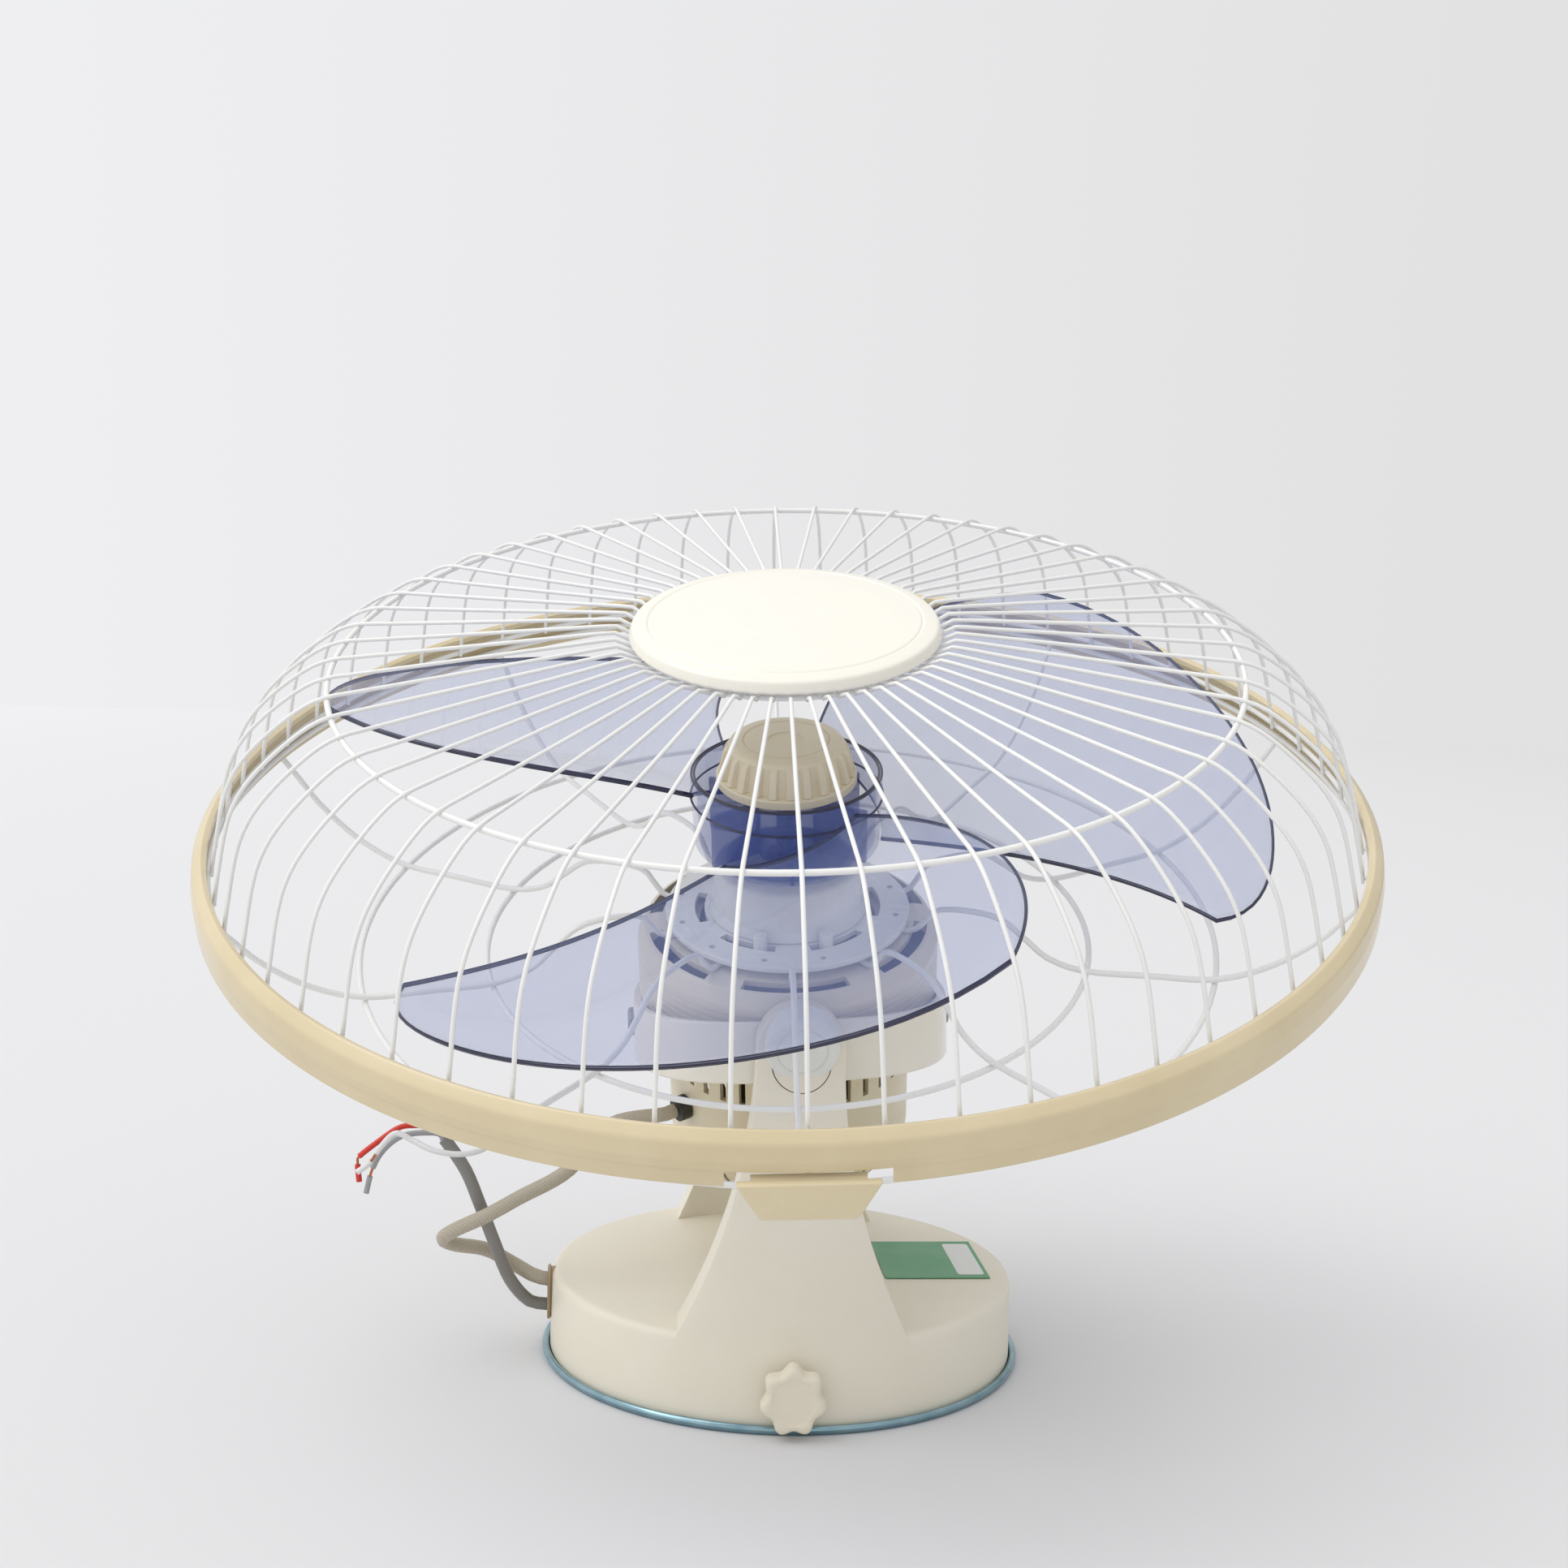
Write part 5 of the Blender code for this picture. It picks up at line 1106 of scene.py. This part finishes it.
# %% Moulded ABS
def moulded(name, dark, light, roughness, grain, depth):
    """ABS: grain is the tool's texture in mm, depth how strongly it shows."""
    mat, tree, shader, where = finish(name)
    ageing = ranged(tree, noise(tree, where, 55.0, 4.0, Roughness=0.6), 0.35, 0.65)
    handling = noise(tree, where, 14.0, 5.0)
    feed(shader, {
        "Base Color": shade_between(tree, ageing, dark, light),
        "Roughness": ranged(tree, handling, 0.3, 0.7, roughness * 0.8, roughness * 1.25),
        "Normal": bumped(tree, noise(tree, where, grain, 2.0), depth),
        "IOR": 1.53,
    })
    return mat


abs_cover = moulded("abs_satin_cover", "EDE6D4", "F0EAD9", 0.42, 0.9, 0.35)
abs_knob = moulded("abs_satin_knob", "E9E0CB", "EDE5D2", 0.45, 0.9, 0.4)
abs_rim = moulded("abs_gloss_rim", "D8C8A3", "E0D1AE", 0.2, 18.0, 0.3)
abs_disc = moulded("abs_gloss_disc", "F5F1E6", "F6F3E8", 0.24, 22.0, 0.2)
abs_clasp = moulded("abs_gloss_clasp", "DDCEAA", "E2D4B2", 0.24, 12.0, 0.4)
abs_ring = moulded("abs_gloss_ring", "EDE8DA", "F1ECDF", 0.14, 20.0, 0.25)
abs_housing = moulded("abs_satin_housing", "DCD0B0", "E6DCC2", 0.34, 1.2, 0.3)
abs_white = moulded("abs_gloss_white", "E7E7E3", "F1F1EE", 0.25, 16.0, 0.4)
nylon_white = moulded("nylon_moulded", "E4E4DE", "EFEFEA", 0.4, 0.8, 0.25)
nut_plastic = moulded("polypropylene_nut", "E4D8BC", "E9DFC8", 0.5, 0.7, 0.4)
print("moulded finishes done")

# %% [markdown]
# ### Enamelled steel
#
# The guards are powder coated wire, off white with an orange peel skin. The motor
# shell has a satin stove enamel in the cover's cream. Both are a colour under a thin
# glossy coat, and the peel is a shallow bump.

# %% Enamelled steel
def enamelled(name, dark, light, roughness, peel):
    """Enamel: peel is the width of its skin's dimples in mm."""
    mat, tree, shader, where = finish(name)
    cloud = noise(tree, where, 30.0, 3.0)
    feed(shader, {
        "Base Color": shade_between(tree, cloud, dark, light),
        "Roughness": ranged(tree, cloud, 0.0, 1.0, roughness * 0.8, roughness * 1.2),
        "Normal": bumped(tree, noise(tree, where, peel, 1.0), 0.25),
        "Coat Weight": 0.3,
        "Coat Roughness": 0.15,
    })
    return mat


wire_enamel = enamelled("powder_coat_wire", "EFEFED", "F5F5F3", 0.3, 2.5)
shell_enamel = enamelled("stove_enamel_cream", "DED5C0", "E9E1CF", 0.32, 1.5)
print("enamels done")

# %% [markdown]
# ### Plated and bare metals
#
# The ceiling plate is zinc plated and blue passivated: a metal with a cloudy spangle
# of crystals and an uneven sheen. The same function serves the pins, the copper and
# the metals inside the motor, with smaller crystals.

# %% Metals
def plated(name, dark, light, roughness, spangle):
    """Bare or plated metal: spangle is the width of its crystals in mm."""
    mat, tree, shader, where = finish(name)
    cells = {"Vector": where, "Scale": per_mm(spangle)}
    crystals = add_node(tree, "ShaderNodeTexVoronoi", cells).outputs["Distance"]
    rolling = noise(tree, where, 3.0, 6.0)
    feed(shader, {
        "Base Color": shade_between(tree, crystals, dark, light),
        "Metallic": 1.0,
        "Roughness": ranged(tree, rolling, 0.0, 1.0, roughness * 0.7, roughness * 1.3),
    })
    return mat


zinc_blue = plated("zinc_blue_passivated", "7E9FAC", "9DBAC4", 0.18, 9.0)
pin_steel = plated("steel_turned", "8E8E8A", "B4B4B0", 0.28, 2.0)
lamination = plated("steel_lamination", "4A4A4C", "66666A", 0.5, 1.0)
copper = plated("copper_strands", "A8603A", "D08A5E", 0.3, 0.6)
winding = plated("copper_enamelled", "7C4020", "A55A30", 0.35, 1.2)
bronze = plated("bronze_sintered", "8A6C3C", "A98850", 0.5, 0.8)
zinc_cast = plated("zinc_die_cast", "77777A", "959598", 0.5, 2.5)
print("metals done")

# %% [markdown]
# ### Clear blue plastic
#
# The blades are tinted styrene. Seen through its two millimetres it only tints what
# is behind it, the deeper hub tints more, and the edges gather the light of the
# whole sheet into a dark navy line.

# %% Clear blue plastic
def tinted(name, dark, light, coverage, roughness):
    """Clear tinted plastic: coverage is the share of light that one skin stops."""
    mat, tree, shader, where = finish(name)
    ripple = noise(tree, where, 25.0, 1.0)
    feed(shader, {
        "Base Color": shade_between(tree, noise(tree, where, 60.0, 2.0), dark, light),
        "Normal": bumped(tree, ripple, 0.15, 0.2 * MM),
        "Roughness": roughness,
        "Specular IOR Level": 0.8,
        "Alpha": coverage,
    })
    return mat


styrene_blade = tinted("styrene_clear_blue", "7888C0", "8090C6", 0.26, 0.06)
styrene_cup = tinted("styrene_clear_cup", "5A70BC", "677CC6", 0.24, 0.05)
styrene_edge = tinted("styrene_edge_navy", "15173A", "1C1F48", 1.0, 0.15)
styrene_hub = tinted("styrene_deep_blue", "24409C", "2E4CAA", 0.5, 0.08)
print("clear blue done")

# %% [markdown]
# ### Cords, label and the rest
#
# The motor lead wears a varnished woven sleeve: two sets of threads cross as a fine
# weave, with a thread every half millimetre. The supply cable is smooth PVC, and its
# cores are glossier.

# %% Cords
WAVE_TURN = 6.283


def woven(name, dark, light, thread):
    """A woven sleeve: thread is the step of its weave in mm; a wave repeats every 2 pi."""
    mat, tree, shader, where = finish(name)
    wave = {
        "Vector": where, "Scale": per_mm(thread) / WAVE_TURN, "Distortion": 1.5, "Detail": 1.0,
    }
    across = add_node(tree, "ShaderNodeTexWave", wave, bands_direction="DIAGONAL").outputs["Fac"]
    along = add_node(tree, "ShaderNodeTexWave", wave, bands_direction="X").outputs["Fac"]
    crossing = add_node(tree, "ShaderNodeMath", {0: across, 1: along}, operation="MULTIPLY")
    weave = crossing.outputs["Value"]
    feed(shader, {
        "Base Color": shade_between(tree, weave, dark, light),
        "Normal": bumped(tree, weave, 0.4, 0.2 * MM),
        "Roughness": 0.6,
        "Coat Weight": 0.2,
    })
    return mat


sleeve_weave = woven("glass_sleeve_varnished", "B1A795", "C2B9A6", 0.5)
cable_pvc = moulded("pvc_grey_cable", "7C7A76", "8B8985", 0.4, 1.5, 0.15)
core_finishes = {
    "red": moulded("pvc_red_core", "D2281C", "DE3A28", 0.3, 2.0, 0.1),
    "grey": moulded("pvc_grey_core", "97979A", "A7A7A9", 0.32, 2.0, 0.1),
    "white": moulded("pvc_white_core", "DEDEDD", "EBEBEA", 0.3, 2.0, 0.1),
}
rubber = moulded("rubber_moulded", "9C8868", "AD9876", 0.35, 0.6, 0.4)
black_rubber = moulded("rubber_black", "26241F", "35322C", 0.55, 0.6, 0.5)
capacitor_shell = moulded("polypropylene_black", "1C1C1E", "29292B", 0.4, 1.0, 0.3)
label_green = moulded("film_printed_green", "4E9A68", "56A271", 0.35, 6.0, 0.15)
label_white = moulded("film_white_panel", "E4E6E4", "ECEEEC", 0.35, 6.0, 0.1)
print("cord finishes done")

# %% [markdown]
# ## Finish and body
#
# Each piece gets its finish, and rides on the body of the piece that carries it, so
# the gimbal, the head, the rotor and the clasp still move in the frame's poses. A
# blade has two finishes: the second is for the rim faces that Solidify makes.

# %% Dress the pieces
def dress(obj, *mats):
    """Give an object these materials and no others."""
    obj.data.materials.clear()
    for mat in mats:
        obj.data.materials.append(mat)


CARRIED = [
    ("base", zinc_blue, [plate]), ("base", abs_cover, [cover, *plugs]), ("base", nylon_white, caps),
    ("base", label_white, [panel]), ("base", rubber, [collar]), ("base", copper, strands.values()),
    ("base", sleeve_weave, [motor_sleeve]), ("base", cable_pvc, [supply_jacket]),
    ("knob", abs_knob, [knob]), ("gimbal", abs_ring, [orbit_ring]), ("head", abs_rim, [rim]),
    ("head", shell_enamel, [shell]), ("head", abs_housing, [housing]), ("head", abs_disc, [disc]),
    ("head", abs_white, [front_plate, bell]), ("head", wire_enamel, [rear_guard, cage, cage_hoops]),
    ("clasp", abs_clasp, [clasp]), ("rotor", styrene_cup, [hub]), ("rotor", styrene_hub, [boss]),
    ("rotor", styrene_edge, [hub_rims, blade_rims]), ("nut", nut_plastic, [nut]),
]
for body, mat, pieces in CARRIED:
    for piece in pieces:
        dress(piece, mat)
        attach(piece, body)
for blade in blades:
    dress(blade, styrene_blade, styrene_edge)
    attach(blade, "rotor")
for colour, piece in cores.items():
    dress(piece, core_finishes[colour])
    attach(piece, "base")
print(len(CARRIED), "finishes laid on")

# %% [markdown]
# The small and hidden parts keep the frame's own shape, and only get a finish.

# %% Frame nodes that stay
KEPT_NODES = [
    (pin_steel, ("pivot_pin_front", "pivot_pin_rear", "ball_stud", "side_pin_left",
                 "side_pin_right", "motor_shaft", "crank")),
    (nylon_white, ("pivot_washer_front", "pivot_washer_rear", "terminal_block", "crank_cup")),
    (lamination, ("stator", "rotor_core")), (winding, ("winding_front", "winding_rear")),
    (bronze, ("bush_front", "bush_rear")), (zinc_cast, ("gear_case",)),
    (capacitor_shell, ("capacitor",)), (label_green, ("cover_label",)),
    (black_rubber, ("lead_gland",)),
]
for mat, names in KEPT_NODES:
    for name in names:
        dress(NODES[name], mat)
print(sum(len(names) for _, names in KEPT_NODES), "frame nodes keep their shape")

# %% [markdown]

print("cords are plain curves")

# %% [markdown]
# ## Floor and light
#
# The ground is pale, a little darker to the right, with only a soft contact shadow.
# The floor is a wide matt plane with painted shade: its colour is lighter on the left
# and darker on the right, as the light falls, and the two blend from left to right.

# %% Floor
FLOOR_LIT_LEFT, FLOOR_SHADED_RIGHT = "E6E6E8", "D6D6D7"
bpy.ops.mesh.primitive_plane_add(size=12.0, location=(0, 0, -0.0002))
floor = bpy.context.object
floor.name = "ground"
ground, tree, shader, where = finish("ground_painted_shade")
across = add_node(tree, "ShaderNodeSeparateXYZ", {"Vector": where}).outputs["X"]
# Painted shade: the floor's colour goes from lit on the left to shaded on the right.
feed(shader, {
    "Base Color": shade_between(tree, ranged(tree, across, -2.4, 2.4), FLOOR_LIT_LEFT, FLOOR_SHADED_RIGHT),
    "Roughness": 0.9,
    "Specular IOR Level": 0.0,
})
dress(floor, ground)
print("floor", [round(v, 1) for v in floor.dimensions])

# %% [markdown]
# The light comes from a white sky that is brightest above and to the left. The
# camera doesn't see that sky: where it looks past the floor it gets a backdrop in
# two colours, a painted shade that is lighter on the left and darker on the right,
# and Is Camera Ray switches between the two.

# %% Sky and backdrop
BACKDROP_LIT_LEFT, BACKDROP_SHADED_RIGHT = "F0F0F2", "E2E2E3"
SKY_KEY = Vector((-0.45, -0.10, 0.90)).normalized()
SKY_DIM, SKY_BRIGHT = 0.40, 1.10
world = bpy.data.worlds.new("sky")
bpy.context.scene.world = world
world.use_nodes = True
tree = world.node_tree
sky = tree.nodes["Background"]
outlook = add_node(tree, "ShaderNodeTexCoord", {}).outputs["Generated"]
toward = add_node(tree, "ShaderNodeVectorMath", {0: outlook, 1: SKY_KEY}, operation="DOT_PRODUCT")
feed(sky, {
    "Strength": ranged(tree, toward.outputs["Value"], -0.4, 1.0, SKY_DIM, SKY_BRIGHT),
    "Color": (1.0, 1.0, 1.0, 1.0),
})
side = add_node(tree, "ShaderNodeSeparateXYZ", {"Vector": outlook}).outputs["X"]
# Painted shade: the backdrop seen by the camera darkens from left to right.
backdrop = shade_between(tree, ranged(tree, side, -0.35, 0.35), BACKDROP_LIT_LEFT, BACKDROP_SHADED_RIGHT)
seen = add_node(tree, "ShaderNodeBackground", {"Color": backdrop, "Strength": 1.0})
camera_ray = add_node(tree, "ShaderNodeLightPath", {}).outputs["Is Camera Ray"]
both = add_node(tree, "ShaderNodeMixShader", {
    "Fac": camera_ray, 1: sky.outputs["Background"], 2: seen.outputs["Background"]})
feed(tree.nodes["World Output"], {"Surface": both.outputs["Shader"]})
print("sky from", SKY_DIM, "to", SKY_BRIGHT)

# %% [markdown]
# One broad sun from the same side gives the forms a soft shade and the floor its
# contact shadow. Its wide angle blurs the shadow's edge. The Standard view transform
# shows the colours as they are written above.

# %% Sun
SUN_DIRECTION = (-0.62, -0.18, 1.0)
sun_data = bpy.data.lights.new("broad_sun", "SUN")
sun_data.energy = 0.85
sun_data.angle = radians(40)
sun = linked("broad_sun", sun_data)
sun.rotation_euler = Vector(SUN_DIRECTION).to_track_quat("Z", "Y").to_euler()
bpy.context.scene.view_settings.view_transform = "Standard"
print("lit by", sun.name, "and the sky")
